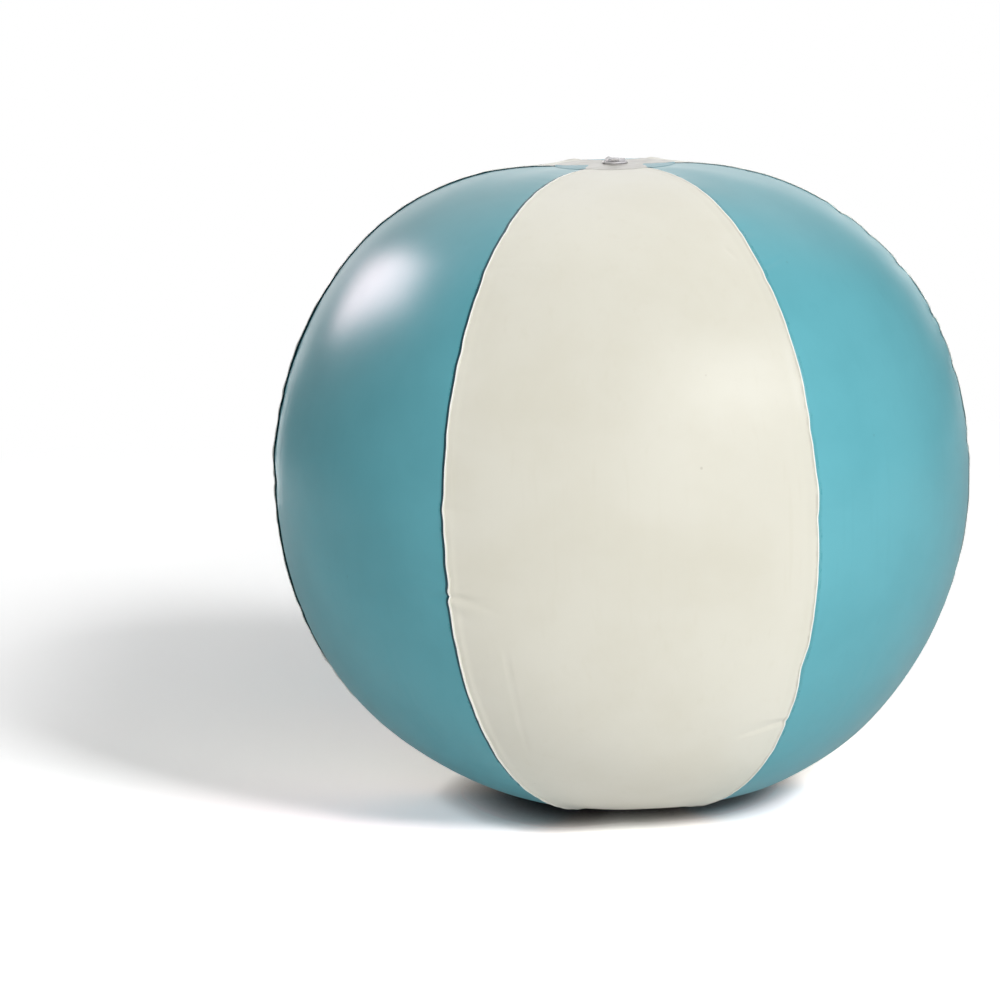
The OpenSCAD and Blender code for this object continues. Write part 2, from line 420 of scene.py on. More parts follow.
CREAM_FILM = FilmFinish(
    name="cream film", slot="cream_film", colour=(227, 225, 214), cloud=(220, 217, 203), cloud_share=0.5,
    speck=(160, 152, 134), speck_share=0.3, roughness=0.40, roughness_change=0.1, matte=1.0, lies_over=True,
    # Weld: pale cut edge with a painted highlight, a pressed band with painted shade, painted shade under the
    # lip.
    weld=WeldPaint(edge=(254, 254, 252), edge_from=-2.35, edge_to=-0.95, edge_share=0.95,
                   band=(160, 148, 136), band_from=-0.60, band_to=0.10, band_share=0.8,
                   shade=(26, 66, 74), shade_pale=(236, 238, 236), shade_to=-2.55))
TEAL_FILM = FilmFinish(
    name="teal film", slot="teal_film", colour=(102, 180, 192), cloud=(94, 171, 183), cloud_share=0.6,
    speck=(70, 120, 128), speck_share=0.2, roughness=0.31, roughness_change=0.08, lies_over=False,
    # Weld: painted shadow beside the cream lip, a darker band past it, painted shade under the cream's lap.
    weld=WeldPaint(edge=(18, 62, 74), edge_from=1.4, edge_to=3.05, edge_share=0.9,
                   band=(84, 158, 168), band_from=3.05, band_to=3.9, band_share=0.4,
                   shade=(40, 96, 104), shade_pale=(90, 150, 160), shade_to=-2.1))
DISC_FILM = VinylFinish(
    name="disc film", slot="disc_film", colour=(229, 226, 217), cloud=(220, 216, 209), roughness=0.36,
    clearness=0.0, tip_share=1.0)
CLEAR_VINYL = VinylFinish(
    name="clear valve vinyl", slot="valve_vinyl", colour=(236, 234, 234), cloud=(218, 216, 219),
    roughness=0.26, clearness=0.10)


def quads(numbers: Grid, flip: bool = False) -> list[list[int]]:
    """Four-sided faces of a grid of point numbers.

    Args:
        numbers: Point numbers by row and column.
        flip: Whether the faces look the other way.

    Returns:
        Point numbers of each face.
    """
    corners = [numbers[:-1, :-1], numbers[:-1, 1:], numbers[1:, 1:], numbers[1:, :-1]]
    if flip:
        corners = corners[:1] + corners[:0:-1]
    return np.stack(corners, -1).reshape(-1, 4).tolist()


def joined_round(numbers: Grid) -> Grid:
    """Grid with its first column again after the last, which closes it round the axis."""
    return np.hstack([numbers, numbers[:, :1]])


class MeshMaker:
    """Makes Blender pieces from arrays of points."""

    @staticmethod
    def piece(name: str, points: Grid, faces: list[Sequence[int]], sharp: float = 40.0) -> Piece:
        """Make a smooth piece from points and faces.

        Args:
            name: Name of the piece.
            points: Places of its points, in metres.
            faces: Point numbers of each face.
            sharp: Angle in degrees over which an edge stays crisp.

        Returns:
            The piece.
        """
        mesh = bpy.data.meshes.new(name)
        mesh.from_pydata([tuple(point) for point in points], [], faces)
        mesh.validate()
        mesh.polygons.foreach_set("use_smooth", [True] * len(mesh.polygons))
        mesh.set_sharp_from_angle(angle=math.radians(sharp))
        made = bpy.data.objects.new(name, mesh)
        bpy.context.scene.collection.objects.link(made)
        return made

    @staticmethod
    def keep_number(piece: Piece, name: str, values: Grid) -> None:
        """Keep a number on each point of a piece, under the name that the material asks for."""
        kept = piece.data.attributes.new(name, "FLOAT", "POINT")
        kept.data.foreach_set("value", np.asarray(values, np.float32).ravel())

    @staticmethod
    def rounded(outline: Outline, radius: float, steps: int) -> Outline:
        """Round the corners of a closed outline.

        Args:
            outline: Corners, in order.
            radius: How far from a corner its curve starts, at most.
            steps: Number of steps in each curve.

        Returns:
            The points of the rounded outline.
        """
        made, most = [], 0.45
        corners = [np.array(corner) for corner in outline]
        for index, corner in enumerate(corners):
            if corner[0] <= 0:
                made.append(tuple(corner))
                continue
            ways = corners[index - 1] - corner, corners[(index + 1) % len(corners)] - corner
            first, last = (corner + way * min(radius / np.linalg.norm(way), most) for way in ways)
            for t in (step / steps for step in range(steps + 1)):
                made.append(tuple((1 - t) ** 2 * first + 2 * t * (1 - t) * corner + t * t * last))
        return made

    @classmethod
    def turned(
        cls, name: str, outline: Outline, rounding: float = 0.0, corner_steps: int = 3, steps: int = 144,
    ) -> Piece:
        """Turn a closed outline about the ball's axis.

        Args:
            name: Name of the piece.
            outline: Radius and height of each point; a run along the axis may be left out.
            rounding: How far from a corner its curve starts, or 0 for crisp corners.
            corner_steps: Number of steps in each corner's curve.
            steps: Number of steps round the axis.

        Returns:
            The piece.
        """
        angles = np.arange(steps) * TURN / steps
        points, rings = [], []
        for radius, height in (cls.rounded(outline, rounding, corner_steps) if rounding else outline):
            if radius <= 0:
                rings.append([len(points)] * steps)
                points.append((0.0, 0.0, height))
            else:
                rings.append(list(range(len(points), len(points) + steps)))
                points.extend((radius * math.sin(a), -radius * math.cos(a), height) for a in angles)
        corners = (list(dict.fromkeys(face)) for face in quads(joined_round(np.array(rings + rings[:1]))))
        return cls.piece(name, np.array(points), [face for face in corners if len(face) > 2], 35.0)

    @classmethod
    def swept(cls, name: str, path: Grid, widths: Grid, thicknesses: Grid, sides: int = 20) -> Piece:
        """Sweep a soft flat section along a path in the middle plane.

        Args:
            name: Name of the piece.
            path: Depth and height of each point of the path.
            widths: Width of the section at each point.
            thicknesses: Thickness of the section at each point.
            sides: Number of points round the section.

        Returns:
            The piece.
        """
        square = 3.2
        angles = np.arange(sides) * TURN / sides
        shape = np.stack([np.cos(angles), np.sin(angles)], 1)
        shape = np.sign(shape) * np.abs(shape) ** (2 / square)
        ahead = np.gradient(path, axis=0)
        ahead /= np.linalg.norm(ahead, axis=1)[:, None]
        points = []
        for place, normal, width, thick in zip(path, ahead[:, ::-1] * (-1, 1), widths, thicknesses):
            for across, over in shape:
                points.append((across * width / 2, *(place + normal * over * thick / 2)))
        numbers = np.arange(len(points)).reshape(-1, sides)
        faces = quads(joined_round(numbers)) + [numbers[0, ::-1].tolist(), numbers[-1].tolist()]
        return cls.piece(name, np.array(points), faces, 50.0)

    @staticmethod
    def dress(piece: Piece, finish: FilmFinish | VinylFinish, materials: Materials) -> None:
        """Give a piece its finish.

        Args:
            piece: Piece to dress.
            finish: Its finish.
            materials: Materials made so far, by name.
        """
        if finish.name not in materials:
            materials[finish.name] = finish.material()
        piece.data.materials.append(materials[finish.name])
        LOG.info("%s: %d points", piece.name, len(piece.data.vertices))


@dataclass(frozen=True)
class BallForm:
    """Form of the blown-up ball in metres, as the CAD model has it but for panels that lie 0.7 mm deeper."""

    seam_radius: float = 0.175
    upper_height: float = 0.157
    lower_height: float = 0.1625
    panel_sink: float = 0.0042
    upper_width_power: float = 2.19
    upper_height_power: float = 1.99
    lower_width_power: float = 2.01
    lower_height_power: float = 2.08
    disc_radius: float = 0.030
    disc_lap: float = 0.009
    film: float = 0.00025
    weld_gap: float = 0.00005
    panels: int = 6

    @property
    def layer(self) -> float:
        """Height of one layer of welded film."""
        return self.film + self.weld_gap

    @property
    def equator(self) -> float:
        """Height of the widest level."""
        return 2 * self.layer + self.lower_height

    @property
    def crown(self) -> float:
        """Height of the upper panel tips."""
        return self.equator + self.upper_height

    @property
    def top(self) -> float:
        """Height of the top disc's outer face."""
        return self.crown + 2 * self.layer

    def line(self, ways: Grid) -> tuple[Grid, Grid]:
        """Seam line from the lower disc's edge to the upper one's.

        Args:
            ways: Shares of the way up, from 0 to 1.

        Returns:
            Radius and height at each share.
        """
        turn = (ways - 0.5) * math.pi
        below = turn < 0
        width_power = np.where(below, self.lower_width_power, self.upper_width_power)
        height_power = np.where(below, self.lower_height_power, self.upper_height_power)
        height = np.where(below, self.lower_height, self.upper_height)
        reach = self.seam_radius - self.disc_radius
        radius = self.disc_radius + reach * np.abs(np.cos(turn)) ** (2 / width_power)
        rise = np.sign(turn) * height * np.abs(np.sin(turn)) ** (2 / height_power)
        return radius, self.equator + rise

    def sink(self, radius: Grid, share: Grid) -> Grid:
        """Depth of the film in the seam circle, by the share of the way from a seam to a panel's middle."""
        left = 1 - np.clip(share, 0, 1)
        return self.panel_sink * radius / self.seam_radius * (1 - left * left)


@dataclass(frozen=True)
class Pucker:
    """Fold that the weld draws into the film at one place of a seam."""

    height: float
    depth: float
    width: float
    reach: float
    slant: float = 0.0
    kink: float = 0.0
    side: float = 0.0


@dataclass(frozen=True)
class Crease:
    """Faint fold left in a panel, from one place to another by angle off its middle and height."""

    start: tuple[float, float]
    end: tuple[float, float]
    depth: float
    width: float


class Uneven(Enum):
    """Uneven waves along a seam: their seed and their lengths in metres."""

    SWAY = (5, 0.043, 0.027, 0.016)
    RIPPLE = (11, 0.019, 0.012, 0.0075)
    LIP = (23, 0.061, 0.023, 0.011)


@dataclass
class Seam:
    """Welded seam between two panels, with its puckers."""

    number: int
    puckers: list[Pucker]
    lip: float = 0.00065
    low_lip: float = 0.00065
    lip_change: float = 0.02
    lip_drop: float = 0.5
    lip_drop_from: float = 0.235
    lip_drop_to: float = 0.285
    lip_waver: float = 0.22
    # Painted highlight on the lip, painted shade in the band and beside the lip, painted shade under it.
    edge_highlight: float = 0.7
    upper_shade: float = 0.3
    lower_shade: float = 0.6
    crease_shade: float = 0.6
    crease_from: float = 0.0
    offset: float = 0.0
    ripple: float = 0.00007
    sway: float = 0.00016
    ripple_reach: float = 0.007
    kink_spread: float = 1.3
    shade_soft: tuple[float, float] = (-0.004, 0.006)

    def uneven(self, along: Grid, kind: Uneven) -> Grid:
        """Uneven waves along the seam.

        Args:
            along: Distance along the seam in metres.
            kind: What the waves are for, with their seed and lengths.

        Returns:
            Waves of height about 1.
        """
        seed, *lengths = kind.value
        chance = np.random.default_rng(seed + 17 * self.number)
        total = np.zeros_like(along)
        for length in lengths:
            size, phase = chance.uniform(0.5, 1.0), chance.uniform(0, TURN)
            total = total + size * np.sin(TURN * along / length + phase)
        return total / math.sqrt(len(lengths))

    def shift(self, along: Grid, places: Sequence[float]) -> Grid:
        """How far the seam sways sideways.

        Args:
            along: Distance along the seam in metres.
            places: Distance along the seam of each pucker.

        Returns:
            The sideways shift in metres.
        """
        total = self.offset + self.sway * self.uneven(along, Uneven.SWAY)
        for pucker, place in zip(self.puckers, places):
            total = total + pucker.kink * bell(along, place, pucker.width * self.kink_spread)
        return total

    def lip_heights(self, along: Grid, height: Grid) -> Grid:
        """Height of the upper film's free lip, which is lower toward the top.

        Args:
            along: Distance along the seam in metres.
            height: Height over the floor.

        Returns:
            The lip's height in metres.
        """
        higher = smooth(height, self.crease_from, self.crease_from + self.lip_change)
        raised = self.low_lip + (self.lip - self.low_lip) * higher
        dropped = 1 - self.lip_drop * smooth(height, self.lip_drop_from, self.lip_drop_to)
        return raised * dropped * (1 + self.lip_waver * self.uneven(along, Uneven.LIP))

    def crease_shades(self, height: Grid) -> Grid:
        """How dark the painted shade under the lip is, by the height over the floor."""
        start, end = (self.crease_from + step for step in self.shade_soft)
        return self.crease_shade * smooth(height, start, end)

    def relief(self, along: Grid, across: Grid, places: Sequence[float]) -> Grid:
        """Height that the puckers and ripples add to the film.

        Args:
            along: Distance along the seam in metres.
            across: Distance from the seam's middle in metres.
            places: Distance along the seam of each pucker.

        Returns:
            The height in metres.
        """
        flare, rebound, rebound_width, fading, side_soft = 1.2, 0.45, 2.1, 1.3, 0.002
        away = np.abs(across)
        total = self.ripple * self.uneven(along, Uneven.RIPPLE) * np.exp(-away / self.ripple_reach)
        for pucker, place in zip(self.puckers, places):
            spread = pucker.width * (1 + flare * away / pucker.reach)
            offset = (along - place - pucker.slant * away) / spread
            fold = np.exp(-(offset**2)) - rebound * np.exp(-((offset / rebound_width) ** 2))
            lasting = np.exp(-((away / pucker.reach) ** fading))
            share = smooth(across * pucker.side, -side_soft, side_soft) if pucker.side else 1.0
            total = total - pucker.depth * fold * lasting * share
        return total

    @classmethod
    def by_chance(cls, number: int, extra: Sequence[Pucker] = (), **looks: float) -> "Seam":
        """Seam with puckers of its own, the same in each run.

        Args:
            number: Number of the seam round the ball.
            extra: Puckers that are added to them.
            looks: Fields of the seam that aren't at their usual value.

        Returns:
            The seam.
        """
        low, high, apart = 0.022, 0.312, 0.009
        chance = np.random.default_rng(101 + number)
        puckers, height = list(extra), low
        while height < high:
            if not any(abs(height - other.height) < apart for other in puckers):
                puckers.append(Pucker(
                    height=height, depth=chance.uniform(0.0001, 0.0005), width=chance.uniform(0.0022, 0.0045),
                    reach=chance.uniform(0.006, 0.016), slant=chance.uniform(-0.35, 0.35),
                    kink=chance.uniform(-0.0003, 0.0003), side=float(chance.integers(-1, 2))))
            height += chance.uniform(0.012, 0.034)
        return cls(number, puckers, **looks)


@dataclass
class Skin:
    """Seam line and uneven form that the six welded panels share."""

    form: BallForm = field(default_factory=BallForm)
    rows: int = 400
    tip_rows: int = 4
    inner_columns: int = 44
    inner_stride: int = 4
    fine_share: float = 0.55
    swell: float = 0.00010
    swell_turns: tuple[int, ...] = (5, 7, 11)
    swell_lengths: tuple[float, float] = (0.06, 0.12)
    lean_top: float = -0.00155
    lean_top_at: tuple[float, float] = (0.300, 0.030)
    lean_foot: float = 0.00135
    lean_foot_at: tuple[float, float] = (0.022, 0.022)
    lean_clear: tuple[float, float] = (0.030, 0.070)
    drop_rear: float = -0.0024
    drop_rear_at: tuple[float, float] = (0.320, 0.012)
    drop_rear_turn: tuple[float, float] = (0.0, 0.5)
    disc_hold: tuple[float, float] = (0.0005, 0.009)

    def __post_init__(self) -> None:
        """Work out the seam line's points once for all panels."""
        radius, height = self.form.line(np.linspace(0, 1, self.rows + 1))
        tips = self.form.disc_radius - self.form.disc_lap * np.arange(1, self.tip_rows + 1) / self.tip_rows
        self.radius = np.concatenate([tips[::-1], radius, tips])
        self.height = np.pad(height, self.tip_rows, mode="edge")
        step_r, step_z = np.gradient(self.radius), np.gradient(self.height)
        length = np.hypot(step_r, step_z)
        self.out_r, self.out_z = step_z / length, -step_r / length
        moved = np.hypot(np.diff(self.radius), np.diff(self.height))
        self.along = np.concatenate([[0], np.cumsum(moved)])
        self.free = smooth(self.radius, *(self.form.disc_radius + reach for reach in self.disc_hold))

    def places(self, heights: Sequence[float]) -> Grid:
        """Distance along a seam at given heights."""
        shown = slice(self.tip_rows, -self.tip_rows)
        return np.interp(heights, self.height[shown], self.along[shown])

    def columns(self, edge_columns: Sequence[float]) -> Grid:
        """Distance from the seam's middle of the columns of half a panel, at each row.

        Args:
            edge_columns: Columns of the weld, which keep their distance, in metres.

        Returns:
            One row of distances for each row of the ball.
        """
        half = self.radius * math.pi / self.form.panels
        start = edge_columns[-1]
        share = np.arange(1, self.inner_columns + 1) / self.inner_columns
        share = self.fine_share * share**2 + (1 - self.fine_share) * share
        inner = start + (half[:, None] - start) * share[None, :]
        edge = np.repeat(np.array(edge_columns)[None, :], len(half), 0)
        return np.concatenate([edge, inner], 1)

    def leaning(self, angle: Grid) -> Grid:
        """Lean of the real ball, which bulges to one side at the top and the other at the foot.

        Its crown also drops a little behind.

        Args:
            angle: Angle round the ball from the front by row and column.

        Returns:
            The height in metres that it adds.
        """
        top = self.lean_top * bell(self.height, *self.lean_top_at)
        foot = self.lean_foot * bell(self.height, *self.lean_foot_at)
        drop = self.drop_rear * bell(self.height, *self.drop_rear_at)
        clear = smooth(self.radius, *self.lean_clear)
        rear = smooth(-np.cos(angle), *self.drop_rear_turn) * drop[:, None]
        return (np.sin(angle) * (top + foot)[:, None] + rear) * clear[:, None]

    def swelling(self, angle: Grid) -> Grid:
        """Slow unevenness of the blown-up film.

        Args:
            angle: Angle round the ball from the front by row and column.

        Returns:
            The height in metres that it adds.
        """
        chance = np.random.default_rng(31)
        total = np.zeros_like(angle)
        for turns in self.swell_turns:
            length, phase = chance.uniform(*self.swell_lengths), chance.uniform(0, TURN)
            total = total + np.sin(turns * angle + phase + TURN * self.along[:, None] / length)
        return self.swell * total


@dataclass
class Panel:
    """One panel of film, whose welded edges lie over its neighbours' edges or under them."""

    name: str
    number: int
    seams: tuple[Seam, Seam]
    skin: Skin
    creases: list[Crease]
    over: bool
    hidden_step: float = 2.2
    edge_inset: float = 0.0010
    edge_hold: float = 0.008
    weld_step: tuple[float, float] = (0.0012, 0.0045)
    lip_rise: tuple[float, float] = (0.00035, 0.00095)
    lip_roll: tuple[float, float] = (0.0012, 0.0015)
    lip_rolled: float = 0.25
    groove: float = -0.00022
    groove_at: tuple[float, float] = (0.0021, 0.0006)
    fold_start: tuple[float, float] = (-0.12, 0.25)
    fold_end: tuple[float, float] = (0.75, 1.12)
    fold_trough: float = 0.6
    floor_clearance: float = 0.00004
    over_columns: tuple[float, ...] = (
        -1.5, -1.42, -1.3, -1.15, -1.0, -0.88, -0.76, -0.64, -0.5, -0.36, -0.2, 0.0, 0.4, 0.9, 1.35, 1.8, 2.3,
        3.0, 4.2)
    under_columns: tuple[float, ...] = (
        -1.5, -0.6, 0.0, 0.25, 0.45, 0.65, 0.85, 1.05, 1.3, 1.55, 1.8, 2.1, 2.6, 3.4, 4.2)

    def profile(self, out: Grid, lip_height: Grid) -> Grid:
        """Height that the weld adds, by the distance from the seam's middle.

        Args:
            out: Distance from the seam's middle into the panel, in metres.
            lip_height: Height of the upper film's free lip at each point.

        Returns:
            The height in metres.
        """
        if not self.over:
            return self.groove * bell(out, *self.groove_at)
        step = self.skin.form.layer * (1 - smooth(out, *self.weld_step))
        rolled = 1 - self.lip_rolled * smooth(-out, *self.lip_roll)
        return step + lip_height * smooth(-out, *self.lip_rise) * rolled

    def folds(self, off_middle: Grid) -> Grid:
        """Height that the panel's own creases add.

        Args:
            off_middle: Angle from the panel's middle in radians.

        Returns:
            The height in metres.
        """
        total = np.zeros_like(off_middle)
        along = self.skin.along[:, None]
        reach = off_middle * self.skin.radius[:, None]
        for crease in self.creases:
            places = self.skin.places((crease.start[1], crease.end[1]))
            radii = np.interp(places, self.skin.along, self.skin.radius)
            x, end_x = (math.radians(end[0]) * r for end, r in zip((crease.start, crease.end), radii))
            y, end_y = places
            span_x, span_y = end_x - x, end_y - y
            length = float(np.hypot(span_x, span_y))
            t = ((reach - x) * span_x + (along - y) * span_y) / length**2
            side = ((reach - x) * span_y - (along - y) * span_x) / length / crease.width
            lasting = smooth(t, *self.fold_start) * (1 - smooth(t, *self.fold_end))
            total = total + crease.depth * lasting * (side - self.fold_trough) * np.exp(-(side**2))
        return total

    def build(self) -> Piece:
        """Make the panel's mesh.

        Returns:
            The panel.
        """
        skin, half_turn = self.skin, math.pi / self.skin.form.panels
        middle = 2 * half_turn * self.number
        shown = self.edge_inset if self.over else -self.edge_inset
        edge = self.over_columns if self.over else self.under_columns
        distances = skin.columns([column * MM + max(shown, 0.0) for column in edge])
        radius, along = skin.radius[:, None], skin.along[:, None]
        places = [skin.places([pucker.height for pucker in seam.puckers]) for seam in self.seams]
        shifts = [seam.shift(skin.along, place) * skin.free for seam, place in zip(self.seams, places)]
        hold = np.exp(-np.clip(distances, 0, None) / self.edge_hold)
        left = -half_turn + (distances + shifts[0][:, None] * hold) / radius
        right = half_turn + (-distances + shifts[1][:, None] * hold) / radius
        angle = np.concatenate([left, right[:, -2::-1]], 1)
        seam_distance = np.concatenate([distances, distances[:, -2::-1]], 1) - shown
        share = np.abs(np.abs(angle) - half_turn) / half_turn
        lips = self._halves(angle.shape, [seam.lip_heights(skin.along, skin.height) for seam in self.seams])
        raised = self.profile(seam_distance, lips * skin.free[:, None])
        relief = self.folds(angle) + skin.swelling(angle + middle)
        for seam, place, side in zip(self.seams, places, (-1, 1)):
            relief = relief + seam.relief(along, (angle - side * half_turn) * radius, place)
        relief = relief * skin.free[:, None] + skin.leaning(angle + middle)
        outer = self._points(angle + middle, share, raised + relief)
        outer[..., 2] = np.maximum(outer[..., 2], self.floor_clearance)
        inner = self._points(angle + middle, share, self._lowest(raised + relief) - skin.form.film)
        return self._mesh(outer, inner, seam_distance)

    def _halves(self, shape: tuple[int, int], values: Sequence[Grid | float]) -> Grid:
        """One value, or one for each row, for the columns nearer to the left seam and the right one.

        Args:
            shape: Number of rows and columns.
            values: What belongs to the left seam and to the right one.

        Returns:
            The values by row and column.
        """
        left, right = (np.reshape(value, (-1, 1)) for value in values)
        nearer_left = np.arange(shape[1])[None, :] <= shape[1] // 2
        return np.broadcast_to(np.where(nearer_left, left, right), shape)

    def _points(self, angle: Grid, share: Grid, raised: Grid) -> Grid:
        """Places of the film's points.

        Args:
            angle: Angle round the ball from the front, in radians.
            share: Share of the way from the nearest seam to the panel's middle.
            raised: Height over the plain form.

        Returns:
            Places by row and column.
        """
        line, level = self.skin.radius[:, None], self.skin.height[:, None]
        out_r, out_z = self.skin.out_r[:, None], self.skin.out_z[:, None]
        radius = line - self.skin.form.sink(line, share) + raised * out_r
        height = level + raised * out_z
        return np.stack([radius * np.sin(angle), -radius * np.cos(angle), height], -1)

    def _lowest(self, raised: Grid) -> Grid:
        """Lowest height near each point, so that the coarser inner face stays under the outer one.

        Args:
            raised: Height by row and column.

        Returns:
            The lowest height within the inner face's stride.
        """
        reach, lowest = self.skin.inner_stride, raised
        for axis in (0, 1):
            padded = np.pad(lowest, reach, mode="edge")
            middle = [slice(reach, reach + size) for size in raised.shape]
            for start in range(2 * reach + 1):
                middle[axis] = slice(start, start + raised.shape[axis])
                lowest = np.minimum(lowest, padded[tuple(middle)])
        return lowest

    def _mesh(self, outer: Grid, inner: Grid, seam_distance: Grid) -> Piece:
        """Join the fine outer face and a coarser inner one into a closed sheet with the weld's numbers.

        Args:
            outer: Places of the outer face by row and column.
            inner: Places under them.
            seam_distance: Distance from the seam's middle by row and column.

        Returns:
            The panel.
        """
        shape = seam_distance.shape
        kept = [sorted(set(range(0, count, self.skin.inner_stride)) | {count - 1}) for count in shape]
        coarse = inner[np.ix_(*kept)]
        fine = np.arange(seam_distance.size).reshape(shape)
        under = seam_distance.size + np.arange(coarse[..., 0].size).reshape(coarse.shape[:2])
        faces = quads(fine) + quads(under, flip=True)
        for picked, rim, rim_under, first_way in ((kept[0], fine.T, under.T, 1), (kept[1], fine, under, -1)):
            for k, (start, end) in enumerate(zip(picked, picked[1:])):
                for place, way in ((0, first_way), (-1, -first_way)):
                    run = rim[place, start:end + 1][::way].tolist()
                    faces.append(run + rim_under[place, k:k + 2][::-way].tolist())
        points = np.concatenate([outer.reshape(-1, 3), coarse.reshape(-1, 3)])
        piece = MeshMaker.piece(self.name, points, faces, 60.0)
        # Each seam's strengths of painted highlight and painted shade, kept on the points for the film's
        # material.
        shades = [seam.upper_shade if self.over else seam.lower_shade for seam in self.seams]
        creases = [seam.crease_shades(self.skin.height) for seam in self.seams]
        grids = {
            "seam_distance": seam_distance / MM, "weld_shade": self._halves(shape, shades),
            "edge_highlight": self._halves(shape, [seam.edge_highlight for seam in self.seams]),
            "crease_shade": self._halves(shape, creases)}
        for name, grid in grids.items():
            below = grid[np.ix_(*kept)] - (self.hidden_step if name == "seam_distance" else 0.0)
            MeshMaker.keep_number(piece, name, np.concatenate([grid.ravel(), below.ravel()]))
        return piece


class Pole(Enum):
    """Which end of the ball a disc closes."""

    TOP = "top_disc"
    BOTTOM = "bottom_disc"


@dataclass
class PoleDisc:
    """Welded disc over the panel tips at one pole."""

    pole: Pole
    form: BallForm = field(default_factory=BallForm)
    hole: float = 0.0065
    weld_from: float = 0.0222
    weld_to: float = 0.0285
    weld_depth: float = 0.00007
    weld_soft: float = 0.0005
    knurl: float = 0.000012
    knurls: int = 180
    wrinkle: float = 0.00007
    wrinkle_rise: float = 0.016
    wrinkle_fall: float = 0.019
    wrinkle_twist: float = 90.0
    seam_height: float = 0.00008
    seam_half_turn: float = 0.05
    seam_span: tuple[float, float] = (0.020, 0.0215)
    flange_from: float = 0.0078
    flange_to: float = 0.0124
    rim_thinned: float = 0.00021
    rim_thinned_width: float = 0.0012
    rim_waver: float = 0.0025
    rim_waver_span: tuple[float, float] = (0.025, 0.030)
    rim_lobes: int = 3
    rim_phase: float = 0.5
    settled: float = 0.92
    settled_beside: tuple[float, float] = (0.0016, 0.0048)
    settled_span: tuple[float, float] = (0.0225, 0.0275)
    smallest: float = 0.0002
    thinnest: float = 0.6
    rings: int = 72
    steps: int = 288

    def off_seam(self, angle: Grid) -> Grid:
        """Angle from the nearest seam in radians, by the angle round the axis."""
        sector = TURN / self.form.panels
        return np.mod(angle, sector) - sector / 2

    def relief(self, radius: Grid, angle: Grid) -> Grid:
        """Height that welds and wrinkles add to the disc's outer face.

        Args:
            radius: Distance from the axis.
            angle: Angle round the axis.

        Returns:
            The height in metres.
        """
        weld, flange = (
            smooth(radius, start, start + self.weld_soft) * (1 - smooth(radius, end, end + self.weld_soft))
            for start, end in ((self.weld_from, self.weld_to), (self.flange_from, self.flange_to)))
        free = smooth(radius, self.flange_to, self.wrinkle_rise) * (
            1 - smooth(radius, self.wrinkle_fall, self.weld_from))
        twisted = self.wrinkle_twist * radius + 0.4
        wrinkles = waves(angle, ((1.0, 11, 1.3), (0.7, 17, twisted), (0.5, 29, 0.0)))
        knurl = np.sin(self.knurls * angle) * self.knurl * weld
        over_seam = bell(self.off_seam(angle), 0.0, self.seam_half_turn)
        seams = over_seam * smooth(radius, *self.seam_span) * self.seam_height
        return self.wrinkle * free * wrinkles - self.weld_depth * (weld + flange) + knurl + seams

    def settling(self, radius: Grid, angle: Grid) -> Grid:
        """How far the rim sinks onto the panels beside the seams, where only one film lies under it.

        Args:
            radius: Distance from the axis.
            angle: Angle round the axis.

        Returns:
            The depth in metres.
        """
        beside = np.abs(self.off_seam(angle)) * radius
        depth = self.form.layer * self.settled
        return depth * smooth(beside, *self.settled_beside) * smooth(radius, *self.settled_span)

    def build(self) -> Piece:
        """Make the disc's mesh.

        Returns:
            The disc.
        """
        top = self.pole is Pole.TOP
        inner = self.hole if top else 0.0
        radii = inner + (self.form.disc_radius - inner) * np.linspace(0, 1, self.rings + 1)
        radii[0] = max(radii[0], self.smallest)
        angles = np.arange(self.steps) * TURN / self.steps
        radius, angle = np.meshgrid(radii, angles, indexing="ij")
        lobes = np.sin(self.rim_lobes * angle + self.rim_phase)
        waver = 1 + self.rim_waver * lobes * smooth(radius, *self.rim_waver_span)
        relief = self.relief(radius, angle)
        low = self.thinnest * self.form.film
        if top:
            level = self.form.top - self.settling(radius, angle)
            rim = self.form.disc_radius
            thinned = self.rim_thinned * smooth(radius, rim - self.rim_thinned_width, rim)
            heights = (level + np.clip(relief, -low, None) - thinned, level - self.form.film)
        else:
            heights = (np.clip(-relief, 0, low), np.full_like(radius, self.form.film))
        return self._closed("top_pole_disc" if top else "bottom_pole_disc", radius * waver, angle, heights)

    def _closed(self, name: str, radius: Grid, angle: Grid, heights: tuple[Grid, Grid]) -> Piece:
        """Join the disc's two faces into a closed sheet.

        Args:
            name: Name of the piece.
            radius: Distance from the axis by ring and step.
            angle: Angle round the axis by ring and step.
            heights: Heights of the outer face and of the inner face.

        Returns:
            The disc.
        """
        sheets = [np.stack([radius * np.sin(angle), -radius * np.cos(angle), z], -1) for z in heights]
        outer = joined_round(np.arange(radius.size).reshape(radius.shape))
        back = outer + radius.size
        faces = quads(outer, flip=True) + quads(back)
        faces += quads(np.stack([outer[-1], back[-1]]), flip=True) + quads(np.stack([outer[0], back[0]]))
        if self.pole is Pole.BOTTOM:
            faces = [face[::-1] for face in faces] + [outer[0, :-1].tolist(), back[0, -2::-1].tolist()]
        return MeshMaker.piece(name, np.concatenate([sheet.reshape(-1, 3) for sheet in sheets]), faces, 50.0)


